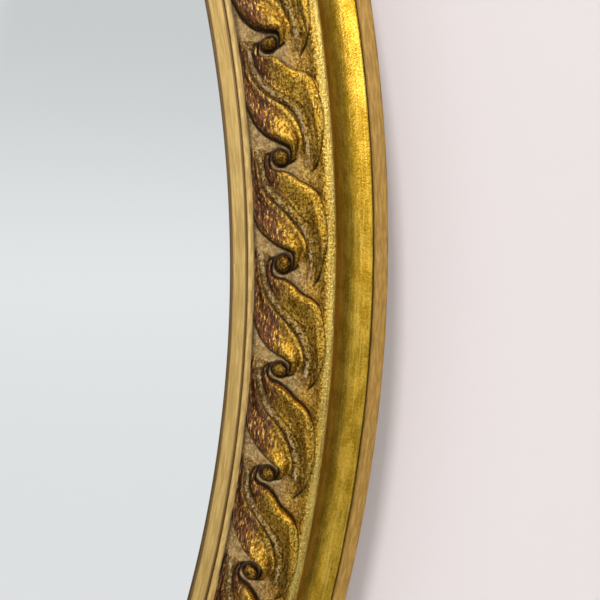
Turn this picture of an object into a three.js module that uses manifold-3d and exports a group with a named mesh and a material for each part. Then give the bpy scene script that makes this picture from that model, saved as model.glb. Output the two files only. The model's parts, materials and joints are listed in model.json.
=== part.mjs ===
// A round convex mirror in a carved and gilded wooden frame.
//
// The mirror is built lying face up on a bench: X to its right, Y to its top, Z up out of the glass. Z is 0
// on the back of the frame. The last lines hang it upright, facing -Y. All sizes are in millimetres, and
// "radius" is always measured from the middle of the glass.
import * as THREE from "three";
import { mergeVertices } from "three/addons/utils/BufferGeometryUtils.js";
import Module from "manifold-3d";

const wasm = await Module();
wasm.setup();

// ---- Driving dimensions ---------------------------------------------------------------------------------

const sightRadius = 404.8; // the glass that shows

const slipFace = 4.8; // sight slip: the pale band round the glass
const slipTongue = 6.2; // how far it reaches behind the carved ring
const slipTongueDepth = 3.4;
const slipRise = 0.6; // face above the tongue, at the inner edge
const slipSlope = 2.2; // further rise to the outer edge of the face

const filletWidth = 1.6; // the mouldings of the carved ring, from the sight edge outwards
const carvedWidth = 19.4;
const ridgeWidth = 3.2;
const coveWidth = 11.5;
const bandWidth = 4.4;

const filletHeight = 4.8; // their heights above the joint between the carved ring and the back ring
const carvedInnerHeight = 3.8;
const carvedOuterHeight = 10.6;
const ridgeHeight = 13.4;
const ridgeFall = 1; // from the top of the ridge to its outer edge
const coveHeight = 4.7;
const arrisHeight = 6;
const bandHeight = 4.9;
const stepWidth = 0.3; // between the hollow's arris and the outer band
const easedEdge = 0.6; // rounding of worked edges

const repeats = 88; // pearls round the ring
const pearlOffset = 10.5; // from the sight edge to the pearls, less the slip's face
const relief = 3.5; // how far the ribbon stands above its ground

const domeRadius = 2000; // ball that the front of the glass is part of
const glassThickness = 3;
const glassOverlap = 8.4; // hidden glass, all round

const boardThickness = 5;
const boardLedge = 12; // seat of the boards, all round
const blockDepth = 4; // glazing block, where it meets the glass rim
const blockWidth = 9;
const blockLength = 32;
const blockCount = 8;
const middleBoardWidth = 286;

const segmentCount = 8; // segments in the carved ring and in the back ring
const slipCount = 4;
const backInset = 3.4; // the back ring is this much smaller than the carved one
const backTaper = 3.2; // and draws in this much further towards the wall

const buttonWidth = 11;
const buttonTipWidth = 8;
const buttonReach = 23; // pivot to tip
const buttonThickness = 1.3;
const screwRadius = 1.7;
const screwHeadRadius = 3.4;
const screwHeadHeight = 1.9;
const screwLength = 12;
const screwTip = 3.5; // the pointed end
const slotWidth = 0.8;
const slotDepth = 0.9;

const strapWidth = 11;
const strapThickness = 1.2;
const ringWire = 3;
const wireChamfer = 0.75;
const ringGapWidth = 16; // clear opening of the D ring
const ringGapReach = 14;
const hingeWall = 1.1; // brass round the hinge pin
const strapScrewGap = 2.1; // hanging ring to the head of the nearer screw
const strapScrewPitch = 12;
const strapScrewInset = 6; // last screw to the end of the strap

const padRadius = 5.6;
const padHeight = 7.4;

const slack = 0.3; // between pieces that meet
const fitSlack = 0.6; // glass and boards in their rebates, on the radius
const pinSlack = 0.1; // round a pivot

// Places round the ring, in degrees from 3 o'clock towards the top.
const buttonAngles = [20, -20, 80, -100, 160, 200];
const hangerAngle = 34;
const padAngle = -60;

const ringSides = 64; // flats round the rings, the glass and the boards
const smallSides = 10; // flats round holes, screws and pads

// ---- Sizes that follow ----------------------------------------------------------------------------------

const lipRadius = sightRadius + slipFace + slack;
const filletRadius = lipRadius + filletWidth;
const ridgeRadius = filletRadius + carvedWidth;
const coveRadius = ridgeRadius + ridgeWidth;
const bandRadius = coveRadius + coveWidth;
const outerRadius = bandRadius + bandWidth;
const pearlRadius = sightRadius + slipFace + pearlOffset;

const glassRadius = sightRadius + glassOverlap;
const glassSeat = boardThickness + blockDepth; // height of the glass rim's back edge
const backBallRadius = domeRadius - glassThickness;
const ballCentre = glassSeat - Math.sqrt(backBallRadius ** 2 - glassRadius ** 2);
const glassFront = (radius) => ballCentre + Math.sqrt(domeRadius ** 2 - radius ** 2);
const glassBack = (radius) => ballCentre + Math.sqrt(backBallRadius ** 2 - radius ** 2);

const slipRadius = lipRadius + slipTongue;
const slipUnder = (radius) => glassFront(radius) + slack;
const tongueTop = slipUnder(slipRadius) + slipTongueDepth;
const jointHeight = tongueTop + slack; // the carved ring stands on the back ring here

const rebateRadius = Math.max(glassRadius, slipRadius) + fitSlack;
const boardRadius = rebateRadius + boardLedge - fitSlack;
const backOuterRadius = outerRadius - backInset;
const backFaceRadius = backOuterRadius - backTaper;
const fixingRadius = (rebateRadius + boardLedge + backFaceRadius) / 2; // middle of the back face

const degrees = Math.PI / 180;
const quarterTurn = Math.PI / 2;
const holeFor = (radius) => (radius + pinSlack) / Math.cos(Math.PI / smallSides); // round a pin, on its flats
const farOut = outerRadius * 1.3; // past every piece
const past = 1; // how far a cutter runs past the face it cuts

// ---- Finishes -------------------------------------------------------------------------------------------

const finish = (color, roughness, metalness) =>
  new THREE.MeshStandardMaterial({ color, roughness, metalness });
const carvedGilding = () => finish(0xc99a3c, 0.35, 0.85);
const matGilding = () => finish(0xd0a868, 0.5, 0.5);
const silvering = () => finish(0xd8dadb, 0.04, 1);
const bareWood = () => finish(0xb08a5a, 0.8, 0);
const boardWood = () => finish(0x9c7446, 0.8, 0);
const brass = () => finish(0xb5903f, 0.35, 1);
const felt = () => finish(0x4a4038, 0.95, 0);

// ---- Solids ---------------------------------------------------------------------------------------------

// A closed three.js geometry as a solid that can be cut and joined.
function solid(geometry) {
  const bare = new THREE.BufferGeometry().setAttribute("position", geometry.getAttribute("position"));
  if (geometry.index) bare.setIndex(geometry.index);
  const merged = mergeVertices(bare, 1e-4);
  return new wasm.Manifold(
    new wasm.Mesh({
      numProp: 3,
      vertProperties: merged.getAttribute("position").array,
      triVerts: new Uint32Array(merged.index.array),
    }),
  );
}

// A solid as a three.js geometry again.
function geometryOf(body) {
  const { vertProperties, triVerts } = body.getMesh();
  const geometry = new THREE.BufferGeometry()
    .setAttribute("position", new THREE.BufferAttribute(new Float32Array(vertProperties), 3))
    .setIndex(new THREE.BufferAttribute(new Uint32Array(triVerts), 1));
  geometry.computeVertexNormals();
  return geometry;
}

// A piece turned round Z, from [radius, height] points that run anticlockwise as seen with Z up.
function turned(points, sides) {
  const profile = points.map(([radius, height]) => new THREE.Vector2(radius, height));
  return new THREE.LatheGeometry(profile, sides).rotateX(quarterTurn);
}

// A ring turned from a closed outline of [radius, height] points.
const turnedRing = (points, sides) => solid(turned([...points, points[0]], sides));

// A flat outline raised from one height to another.
function raised(shape, from, to, curveSegments = smallSides) {
  const depth = to - from;
  const plate = new THREE.ExtrudeGeometry(shape, { depth, bevelEnabled: false, curveSegments });
  return plate.translate(0, 0, from);
}

// The wedge of space between two angles, drawn back by half a gap from each joint.
function wedge(middle, spread, gap) {
  const half = (spread * degrees) / 2;
  const apex = gap / 2 / Math.sin(half);
  const reach = farOut / Math.cos(half);
  const shape = new THREE.Shape();
  shape.moveTo(apex, 0);
  shape.lineTo(reach * Math.cos(half), -(reach * Math.cos(half) - apex) * Math.tan(half));
  shape.lineTo(reach * Math.cos(half), (reach * Math.cos(half) - apex) * Math.tan(half));
  return solid(raised(shape, -farOut, farOut).rotateZ(middle * degrees));
}

// A round hole or peg standing on Z, centred on a point.
function peg(radius, from, to, x, y) {
  const cylinder = new THREE.CylinderGeometry(radius, radius, to - from, smallSides);
  return solid(cylinder.rotateX(quarterTurn).translate(x, y, (from + to) / 2));
}

const onRing = (radius, angle) => [radius * Math.cos(angle * degrees), radius * Math.sin(angle * degrees)];

// ---- The carved ring ------------------------------------------------------------------------------------

// Where a pearl stands: turns given in pearls, result in radians.
const spacing = (pearls) => (pearls / repeats) * 2 * Math.PI;

// The twisted ribbon, as rows from the fillet to the ridge. "across" is the distance outwards from the pearls
// as a share of the band on that side. Each point gives how far along the repeat it lies, clockwise from one
// pearl to the next, and its height as a share of the relief. In order along the row: edge of the outer leaf,
// its crown, the fold, crown of the inner leaf, its edge, and the ground where the pearl stands.
const ribbonRows = [
  { across: -1, points: [[-0.12, 0.1], [-0.08, 0.1], [-0.05, 0.1], [0.28, 0.25], [0.61, 0.1], [0.75, 0]] },
  { across: -0.46, points: [[0.02, 0], [0.12, 0.45], [0.27, 0.2], [0.52, 0.8], [0.78, 0], [0.9, 0]] },
  { across: 0, points: [[0.12, 0], [0.28, 0.9], [0.44, 0.4], [0.66, 1], [0.87, 0.05], [1, 0.6]] },
  { across: 0.34, points: [[0.2, 0], [0.39, 1], [0.59, 0.45], [0.83, 0.85], [1.03, 0.25], [1.11, 0]] },
  { across: 0.68, points: [[0.29, 0], [0.52, 0.85], [0.76, 0.4], [0.95, 0.25], [1.08, 0.05], [1.19, 0]] },
  { across: 1, points: [[0.45, 0.15], [0.7, 0.45], [0.98, 0.2], [1.1, 0.08], [1.2, 0.05], [1.32, 0.05]] },
];

// One loop of points round the ring, each { angle, radius, height }.
function plainLoop(radius, height) {
  const angles = Array.from({ length: ringSides }, (_, i) => (i / ringSides) * 2 * Math.PI);
  return angles.map((angle) => ({ angle, radius, height }));
}

function ribbonLoop({ across, points }) {
  const inner = pearlRadius - filletRadius;
  const outer = ridgeRadius - pearlRadius;
  const radius = pearlRadius + across * (across < 0 ? inner : outer);
  const share = (radius - filletRadius) / carvedWidth;
  const ground = THREE.MathUtils.lerp(carvedInnerHeight, carvedOuterHeight, share);
  const loop = [];
  for (let k = 0; k < repeats; k++) {
    for (const [along, height] of points.toReversed()) {
      loop.push({ angle: spacing(k - along), radius, height: jointHeight + ground + height * relief });
    }
  }
  return loop;
}

// The band of triangles between two loops. Loops of one kind are joined point by point, so that the faces
// follow the ribbon, and loops of different kinds in the order of their angles.
function bandBetween(a, b, startA, startB, triangles) {
  if (a.length === b.length) {
    a.forEach((_, i) => {
      const next = (i + 1) % a.length;
      triangles.push([startA + i, startA + next, startB + next], [startA + i, startB + next, startB + i]);
    });
    return;
  }
  const wrapped = (loop, i) => THREE.MathUtils.euclideanModulo(i, loop.length);
  const angleAt = (loop, i) => loop[wrapped(loop, i)].angle + 2 * Math.PI * Math.floor(i / loop.length);
  let first = -b.length;
  while (angleAt(b, first) < a[0].angle) first++;
  let i = 0;
  let j = 0;
  while (i < a.length || j < b.length) {
    const stepA = j === b.length || (i < a.length && angleAt(a, i + 1) < angleAt(b, first + j + 1));
    const here = startA + wrapped(a, i);
    const there = startB + wrapped(b, first + j);
    if (stepA) {
      i++;
      triangles.push([here, startA + wrapped(a, i), there]);
    } else {
      j++;
      triangles.push([here, startB + wrapped(b, first + j), there]);
    }
  }
}

// The whole carved ring, before it is sawn into segments.
function carvedRing() {
  const at = (radius, height) => plainLoop(radius, jointHeight + height);
  const coveSteps = 5;
  const coveFall = ridgeHeight - ridgeFall - coveHeight;
  const cove = Array.from({ length: coveSteps + 1 }, (_, i) => {
    const share = i / coveSteps;
    const rise = (arrisHeight - coveHeight) * share ** 4;
    return at(coveRadius + coveWidth * share ** 1.4, coveHeight + coveFall * (1 - share) ** 3 + rise);
  });
  const loops = [
    at(lipRadius, 0),
    at(lipRadius, filletHeight - easedEdge),
    at(lipRadius + filletWidth * 0.35, filletHeight),
    at(lipRadius + filletWidth * 0.8, filletHeight),
    ...ribbonRows.map(ribbonLoop),
    at(ridgeRadius + ridgeWidth * 0.3, ridgeHeight - easedEdge),
    at(ridgeRadius + ridgeWidth * 0.65, ridgeHeight),
    ...cove,
    at(bandRadius + stepWidth, bandHeight),
    at(outerRadius - easedEdge, bandHeight - easedEdge / 2),
    at(outerRadius, bandHeight - 2 * easedEdge),
    at(outerRadius, 0),
  ];
  const starts = [];
  const positions = [];
  for (const loop of loops) {
    starts.push(positions.length / 3);
    for (const { angle, radius, height } of loop) {
      positions.push(radius * Math.cos(angle), radius * Math.sin(angle), height);
    }
  }
  const triangles = [];
  loops.forEach((loop, i) => {
    const next = (i + 1) % loops.length;
    bandBetween(loop, loops[next], starts[i], starts[next], triangles);
  });
  const geometry = new THREE.BufferGeometry();
  geometry.setAttribute("position", new THREE.Float32BufferAttribute(positions, 3));
  geometry.setIndex(triangles.map(([a, b, c]) => [a, c, b]).flat());
  return solid(geometry);
}

function carvedSegments() {
  const spread = 360 / segmentCount;
  const segment = geometryOf(carvedRing().intersect(wedge(0, spread, slack)));
  return Array.from({ length: segmentCount }, (_, i) => {
    const piece = named(`carved_segment_${i + 1}`, segment, carvedGilding());
    piece.rotation.z = i * spread * degrees;
    return piece;
  });
}

// ---- The rest of the frame ------------------------------------------------------------------------------

function sightSlips() {
  const low = tongueTop + slipRise;
  const high = low + slipSlope;
  const ring = turnedRing(
    [
      [sightRadius, slipUnder(sightRadius)],
      [slipRadius, slipUnder(slipRadius)],
      [slipRadius, tongueTop],
      [sightRadius + slipFace, tongueTop],
      [sightRadius + slipFace, high - easedEdge],
      [sightRadius + slipFace - easedEdge, high],
      [sightRadius + easedEdge, low],
      [sightRadius, low - easedEdge],
    ],
    ringSides,
  );
  const spread = 360 / slipCount;
  const slip = geometryOf(ring.intersect(wedge(spread / 2, spread, slack)));
  return Array.from({ length: slipCount }, (_, i) => {
    const piece = named(`sight_slip_${i + 1}`, slip, matGilding());
    piece.rotation.z = i * spread * degrees;
    return piece;
  });
}

// Pilot holes for every screw that goes into the back ring.
function pilotHoles() {
  const depth = screwLength + slack;
  const spots = [...buttonAngles.map((angle) => onRing(fixingRadius, angle)), ...strapScrewSpots()];
  return spots.map(([x, y]) => peg(holeFor(screwRadius), -past, depth, x, y));
}

function backSegments() {
  const ledgeRadius = rebateRadius + boardLedge;
  const ring = turnedRing(
    [
      [rebateRadius, boardThickness],
      [ledgeRadius, boardThickness],
      [ledgeRadius, 0],
      [backFaceRadius, 0],
      [backOuterRadius, jointHeight - slack],
      [rebateRadius, jointHeight - slack],
    ],
    ringSides,
  );
  const drilled = pilotHoles().reduce((body, hole) => body.subtract(hole), ring);
  const spread = 360 / segmentCount;
  return Array.from({ length: segmentCount }, (_, i) => {
    const segment = drilled.intersect(wedge((i + 0.5) * spread, spread, slack));
    return named(`back_segment_${i + 1}`, geometryOf(segment), bareWood());
  });
}

function mirrorGlass() {
  const steps = 6;
  const front = [];
  const back = [];
  for (let i = 0; i <= steps; i++) {
    const radius = (glassRadius * i) / steps;
    back.push([radius, glassBack(radius)]);
    front.unshift([radius, glassFront(radius)]);
  }
  return named("mirror_glass", turned([...back, ...front], ringSides), silvering());
}

function glazingBlocks() {
  const outer = rebateRadius - slack;
  const inner = outer - blockWidth;
  const floor = boardThickness + slack;
  const ring = turnedRing(
    [
      [inner, floor],
      [outer, floor],
      [outer, glassSeat - slack],
      [glassRadius, glassSeat - slack],
      [inner, glassBack(inner) - slack],
    ],
    ringSides,
  );
  const spread = blockLength / outer / degrees;
  return Array.from({ length: blockCount }, (_, i) => {
    const angle = ((i + 0.5) * 360) / blockCount;
    return named(`glazing_block_${i + 1}`, geometryOf(ring.intersect(wedge(angle, spread, 0))), bareWood());
  });
}

function backBoards() {
  const outline = [
    [0, 0],
    [boardRadius, 0],
    [boardRadius, boardThickness],
    [0, boardThickness],
  ];
  const disc = solid(turned(outline, ringSides));
  const half = middleBoardWidth / 2;
  const strip = (from, to) => {
    const shape = new THREE.Shape();
    shape.moveTo(from, -farOut);
    shape.lineTo(to, -farOut);
    shape.lineTo(to, farOut);
    shape.lineTo(from, farOut);
    return solid(raised(shape, -past, boardThickness + past));
  };
  return [
    ["left", -farOut, -half - slack],
    ["middle", -half, half],
    ["right", half + slack, farOut],
  ].map(([side, from, to]) => {
    const board = disc.intersect(strip(from, to));
    return named(`back_board_${side}`, geometryOf(board), boardWood());
  });
}

// ---- Turn buttons and screws ----------------------------------------------------------------------------

// A wood screw standing point up, the underside of its head at Z 0 and a slot across the head.
function screw(name) {
  const body = solid(
    turned(
      [
        [0, -screwHeadHeight],
        [screwHeadRadius * 0.6, -screwHeadHeight],
        [screwHeadRadius, -screwHeadHeight * 0.4],
        [screwHeadRadius, 0],
        [screwRadius, 0],
        [screwRadius, screwLength - screwTip],
        [0, screwLength],
      ],
      smallSides,
    ),
  );
  const slot = new THREE.BoxGeometry(4 * screwHeadRadius, slotWidth, 2 * slotDepth);
  return named(name, geometryOf(body.subtract(solid(slot.translate(0, 0, -screwHeadHeight)))), brass());
}

// The button lies along X from its pivot, its face against the frame.
function buttonGeometry() {
  const shape = new THREE.Shape();
  const wide = buttonWidth / 2;
  const narrow = buttonTipWidth / 2;
  shape.absarc(0, 0, wide, quarterTurn, -quarterTurn, false);
  shape.absarc(buttonReach - narrow, 0, narrow, -quarterTurn, quarterTurn, false);
  shape.closePath();
  const hole = new THREE.Path().absarc(0, 0, holeFor(screwRadius), 0, 2 * Math.PI, true);
  shape.holes.push(hole);
  return raised(shape, -buttonThickness, 0, smallSides / 2);
}

function turnButtons() {
  return buttonAngles.flatMap((angle, i) => {
    const place = new THREE.Group();
    place.position.set(...onRing(fixingRadius, angle), -slack / 2);
    place.rotation.z = (angle + 180) * degrees;
    const pivot = screw(`button_screw_${i + 1}`);
    pivot.position.z = -buttonThickness - slack / 2;
    place.add(named(`turn_button_${i + 1}`, buttonGeometry(), brass()), pivot);
    return place;
  });
}

// ---- Hangers --------------------------------------------------------------------------------------------

const pinRadius = Math.hypot(ringWire / 2, ringWire / 2 - wireChamfer);
const knuckleBore = holeFor(pinRadius);
const knuckleRadius = knuckleBore + hingeWall;
const hingeDrop = knuckleRadius + slack; // hinge line below the frame's back

// Where the strap's screws go, measured back along the strap from the hinge line, clear of the hanging ring.
const nearScrew = ringWire / 2 + ringGapReach + ringWire + strapScrewGap + screwHeadRadius;
const strapScrews = [nearScrew + strapScrewPitch, nearScrew];
const strapLength = nearScrew + strapScrewPitch + strapScrewInset; // hinge to end

// Both hangers lie along the ring, mirror images of each other, with their hinges towards the top.
const hangers = [
  { side: "right", angle: hangerAngle, lean: hangerAngle },
  { side: "left", angle: 180 - hangerAngle, lean: -hangerAngle },
];

// Turns a hanger that points to the top of the bench so that it lies along the ring at its own angle.
function hangerPlace({ angle, lean }) {
  const place = new THREE.Group();
  place.position.set(...onRing(fixingRadius, angle), 0);
  place.rotation.z = lean * degrees;
  return place;
}

// The strap is centred on its spot, so the hinge line is this far above it.
const hingeAbove = strapLength / 2;

function strapScrewSpots() {
  return hangers.flatMap((hanger) => {
    const place = hangerPlace(hanger);
    place.updateMatrix();
    return strapScrews.map((along) => {
      const spot = new THREE.Vector3(0, hingeAbove - along, 0).applyMatrix4(place.matrix);
      return [spot.x, spot.y];
    });
  });
}

// A strap of brass rolled round the hinge pin at its upper end.
function hangerStrap(name) {
  const back = -slack / 2;
  const face = back - strapThickness;
  const rollStart = Math.PI - Math.asin((face + hingeDrop) / knuckleRadius);
  const rollEnd = 2.5 * Math.PI; // once round, to the side towards the frame
  const profile = new THREE.Shape();
  profile.moveTo(-strapLength, back);
  profile.lineTo(-strapLength, face);
  profile.absarc(0, -hingeDrop, knuckleRadius, rollStart, rollEnd, false);
  profile.lineTo(0, back);
  profile.closePath();
  profile.holes.push(new THREE.Path().absarc(0, -hingeDrop, knuckleBore, 0, 2 * Math.PI, true));
  const rolled = new THREE.ExtrudeGeometry(profile, {
    depth: strapWidth,
    bevelEnabled: false,
    curveSegments: smallSides / 2,
  });
  // Drawn in (along, height), extruded across: stand the extrusion over X and run it along Y.
  rolled.translate(0, 0, -strapWidth / 2);
  rolled.applyMatrix4(
    new THREE.Matrix4().makeBasis(
      new THREE.Vector3(0, 1, 0),
      new THREE.Vector3(0, 0, 1),
      new THREE.Vector3(1, 0, 0),
    ),
  );
  const holes = strapScrews.map((along) => peg(holeFor(screwRadius), -hingeDrop * 2, past, 0, -along));
  const body = holes.reduce((left, hole) => left.subtract(hole), solid(rolled));
  return named(name, geometryOf(body), brass());
}

// A D of square wire with its corners taken off. Its straight bar is the hinge pin, and it hangs down -Y.
function hangerRing(name) {
  const wire = ringWire - 2 * wireChamfer;
  const bowCentre = ringGapWidth / 2 - ringGapReach - ringWire / 2;
  const outline = (path, grow) => {
    const side = ringGapWidth / 2 + grow;
    const top = grow - ringWire / 2;
    path.moveTo(-side, top);
    path.lineTo(-side, bowCentre);
    path.absarc(0, bowCentre, side, Math.PI, 2 * Math.PI, false);
    path.lineTo(side, top);
    path.closePath();
    return path;
  };
  const shape = outline(new THREE.Shape(), wireChamfer + wire);
  shape.holes.push(outline(new THREE.Path(), wireChamfer));
  const ring = new THREE.ExtrudeGeometry(shape, {
    depth: wire,
    bevelThickness: wireChamfer,
    bevelSize: wireChamfer,
    bevelSegments: 1,
    curveSegments: smallSides / 2,
  });
  return named(name, ring.translate(0, 0, -wire / 2), brass());
}

function hangerSets() {
  return hangers.map((hanger) => {
    const { side } = hanger;
    const place = hangerPlace(hanger);
    const strap = hangerStrap(`hanger_strap_${side}`);
    strap.position.y = hingeAbove;
    const ring = hangerRing(`hanger_ring_${side}`);
    ring.position.set(0, hingeAbove, -hingeDrop);
    const screws = strapScrews.map((along, i) => {
      const fixing = screw(`hanger_screw_${side}_${i + 1}`);
      fixing.position.set(0, hingeAbove - along, -strapThickness - slack);
      return fixing;
    });
    place.add(strap, ring, ...screws);
    return place;
  });
}

function wallPads() {
  return [
    ["right", padAngle],
    ["left", 180 - padAngle],
  ].map(([side, angle]) => {
    const pad = new THREE.CylinderGeometry(padRadius, padRadius, padHeight, smallSides).rotateX(quarterTurn);
    const piece = named(`wall_pad_${side}`, pad, felt());
    piece.position.set(...onRing(fixingRadius, angle), -padHeight / 2);
    return piece;
  });
}

// ---- The mirror -----------------------------------------------------------------------------------------

function named(name, geometry, material) {
  const mesh = new THREE.Mesh(geometry, material);
  mesh.name = name;
  return mesh;
}

const mirror = new THREE.Group();
mirror.add(
  ...carvedSegments(),
  ...sightSlips(),
  ...backSegments(),
  mirrorGlass(),
  ...glazingBlocks(),
  ...backBoards(),
  ...turnButtons(),
  ...hangerSets(),
  ...wallPads(),
);
mirror.rotation.x = quarterTurn; // hung upright: the glass faces -Y and the top is +Z

export default mirror;
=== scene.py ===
# %% [markdown]
# # A round convex mirror in a carved and gilded frame
#
# The mirror hangs on a pale wall: a bulging silvered glass, a pale band round it, and a narrow ring of wood
# carved with a twisted ribbon and pearls, covered in gesso, red clay and gold leaf. The solid model, built
# from the joiner's sizes, is loaded first and stays as it is. It says where everything goes, and this script
# dresses it: carving, leaf, wood, brass and felt.

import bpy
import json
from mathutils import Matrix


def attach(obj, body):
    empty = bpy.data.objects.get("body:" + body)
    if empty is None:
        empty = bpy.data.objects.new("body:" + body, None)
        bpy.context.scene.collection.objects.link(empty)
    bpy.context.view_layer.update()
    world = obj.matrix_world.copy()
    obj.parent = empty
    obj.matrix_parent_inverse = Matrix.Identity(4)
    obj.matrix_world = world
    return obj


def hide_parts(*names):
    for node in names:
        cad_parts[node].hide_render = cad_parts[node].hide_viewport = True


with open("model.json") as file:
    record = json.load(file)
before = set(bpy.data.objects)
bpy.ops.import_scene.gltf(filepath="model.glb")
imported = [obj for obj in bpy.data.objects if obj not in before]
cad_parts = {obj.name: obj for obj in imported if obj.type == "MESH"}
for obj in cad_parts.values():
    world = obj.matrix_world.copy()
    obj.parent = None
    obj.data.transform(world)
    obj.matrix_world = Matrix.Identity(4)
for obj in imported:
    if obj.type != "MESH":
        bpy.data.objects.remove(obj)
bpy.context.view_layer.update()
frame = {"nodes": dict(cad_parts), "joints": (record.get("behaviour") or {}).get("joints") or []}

# %% [markdown]
# ## Libraries and units
#
# `bpy` makes the pieces and their finishes, `bmesh` mends a mesh, and `numpy` works out thousands of places
# at once, where a plain loop would take minutes. The scene counts in metres and a joiner in millimetres, so a
# size is written as a number times MM.

# %% Libraries and units
import json
import math

import bmesh
import bpy
import numpy as np
from mathutils import Matrix, Vector

MM = 0.001
print("one millimetre is", MM, "m")

# %% [markdown]
# ## Sizes
#
# The solid model already holds the sizes of the rings and of the glass, so they are read from it and not
# typed again. These pieces are all turned round one axis, which runs through the middle of the glass from
# front to back. A piece is therefore described by its distance from that axis and by its height, which is how
# far it stands out from the wall side of the frame.

# %% Read the sizes of the rings


def reach(node):
    """Least and greatest distance from the mirror's axis, and least and greatest height, of one node."""
    corners = np.array([vertex.co for vertex in frame["nodes"][node].data.vertices])
    radius = np.hypot(corners[:, 0], corners[:, 2])
    height = -corners[:, 1]
    return radius.min(), radius.max(), height.min(), height.max()


LIP, OUTER, JOINT, RIDGE_TOP = reach("carved_segment_1")
SIGHT, SLIP_OUTER, _, _ = reach("sight_slip_1")
_, GLASS_EDGE, _, GLASS_TOP = reach("mirror_glass")
BACK_INNER, BACK_OUTER, _, BACK_TOP = reach("back_segment_1")
_, _, _, BOARD_TOP = reach("back_board_middle")
print(f"sight {SIGHT:.4f} m, outside {OUTER:.4f} m, ridge {RIDGE_TOP:.4f} m high, glass {GLASS_TOP:.4f} m")

# %% [markdown]
# ## The row of mouldings
#
# From the glass outwards, the carved ring has a small fillet, the carved band, a ridge, a hollow and a flat
# band. The solid model's carving is too coarse to show where one ends and the next starts, so the widths are
# written down here, and the flat band takes what is left. Heights count from the joint between the carved
# ring and the plain ring behind it.

# %% Widths and heights of the mouldings
FILLET = 1.6 * MM  # from the inner lip outwards
CARVED = 19.4 * MM
RIDGE = 3.2 * MM
ROUNDED = 0.3 * MM  # of the ridge, where it turns over into the hollow
COVE = 11.5 * MM - ROUNDED
RIDGE_HEIGHT = RIDGE_TOP - JOINT
FILLET_HEIGHT = 4.8 * MM
COVE_HEIGHT = 4.7 * MM
ARRIS_HEIGHT = 6.0 * MM
BAND_HEIGHT = 4.9 * MM
RELIEF = 3.3 * MM  # how far the ribbon stands above its ground
PEARLS = 88
PEARL_CIRCLE = LIP + 10.2 * MM
PITCH = 2 * math.pi * PEARL_CIRCLE / PEARLS
SEGMENTS = 8
PEARLS_EACH = PEARLS // SEGMENTS
JOINT_GAP = 0.06 * MM  # hairline between two segments
print(f"one repeat is {PITCH / MM:.2f} mm, {PEARLS_EACH} to a segment")

# %% [markdown]
# ## Turning arrays of points into pieces
#
# Every ring is a grid: rows of points from the inside to the outside, and columns round the axis. One helper
# takes such a grid, closes it into a body and turns its faces outwards. It checks this by the signed volume,
# which is negative for a body that is inside out. A second helper keeps numbers on the points of the mesh,
# such as how far along and across the ring each one lies, because a finish can read them there.

# %% From a grid of points to a mesh


def body_mesh(name, points, faces, flat_faces=0):
    """A closed mesh with its faces outwards. The last flat_faces faces are shaded flat."""
    mesh = bpy.data.meshes.new(name)
    mesh.from_pydata(points, [], faces)
    mesh.validate()
    mesh.calc_loop_triangles()
    corners = np.array(points)[np.array([tri.vertices[:] for tri in mesh.loop_triangles])]
    volume = np.einsum("ij,ij->i", corners[:, 0], np.cross(corners[:, 1], corners[:, 2])).sum()
    if volume < 0:
        mesh.flip_normals()
    smooth = np.ones(len(mesh.polygons), bool)
    if flat_faces:
        smooth[-flat_faces:] = False
        for face in mesh.polygons[-flat_faces:]:
            for loop in face.loop_indices:
                mesh.edges[mesh.loops[loop].edge_index].use_edge_sharp = True
    mesh.polygons.foreach_set("use_smooth", smooth)
    return mesh


def grid_faces(rows, columns, wrap_rows=False, wrap_columns=False):
    """Quads between neighbouring points of a grid numbered row by row."""
    row = np.arange(rows if wrap_rows else rows - 1)[:, None]
    column = np.arange(columns if wrap_columns else columns - 1)[None, :]
    here = row * columns
    above = ((row + 1) % rows) * columns
    beside = (column + 1) % columns
    quads = np.stack([here + column, here + beside, above + beside, above + column], axis=-1)
    return quads.reshape(-1, 4).tolist()


def end_caps(rows, columns):
    """The two flat ends of a grid that goes only part of the way round."""
    first = (np.arange(rows) * columns).tolist()
    return [first, [index + columns - 1 for index in reversed(first)]]


def keep(mesh, name, values, kind="FLOAT", field="value"):
    """Keeps one value for each point of a mesh, for its finish to read."""
    layer = mesh.attributes.new(name, kind, "POINT")
    layer.data.foreach_set(field, values.astype(np.float32).ravel())


def keep_place(mesh, angle, across, height):
    """Keeps the millimetres along the ring, across it and upwards of each point."""
    along = -angle * PEARL_CIRCLE / MM
    place = np.stack(np.broadcast_arrays(along, across, height / MM), axis=-1)
    keep(mesh, "place", place, "FLOAT_VECTOR", "vector")


# %% [markdown]
# ## Putting a piece on its body
#
# Parts of the real mirror move: the hanging rings swing and the turn buttons turn. So each finished piece
# says on which body it rides, which finish it wears, and for which nodes of the solid model it stands. One
# helper asks for all three, so that none of them is forgotten.

# %% Put a finished piece on its body


def piece(name, mesh, material, slot, *nodes, body="frame"):
    """Adds a mesh as a piece that rides on a body and stands for solid nodes. The slot is not used."""
    thing = bpy.data.objects.new(name, mesh)
    bpy.context.scene.collection.objects.link(thing)
    mesh.materials.append(material)
    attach(thing, body)
    if nodes:
        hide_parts(*nodes)
    return thing


# %% [markdown]
# ## Writing a finish as sums
#
# A finish is a net of small nodes. Written out node by node it is long and hard to read, so a small class
# wraps a node's output and lets it be added, multiplied and raised like a number. Each operator adds one
# Math node. Everything that is not arithmetic goes through one method, which takes the kind of node, its
# settings and what its sockets hold.

# %% Sockets that can be calculated with


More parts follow.
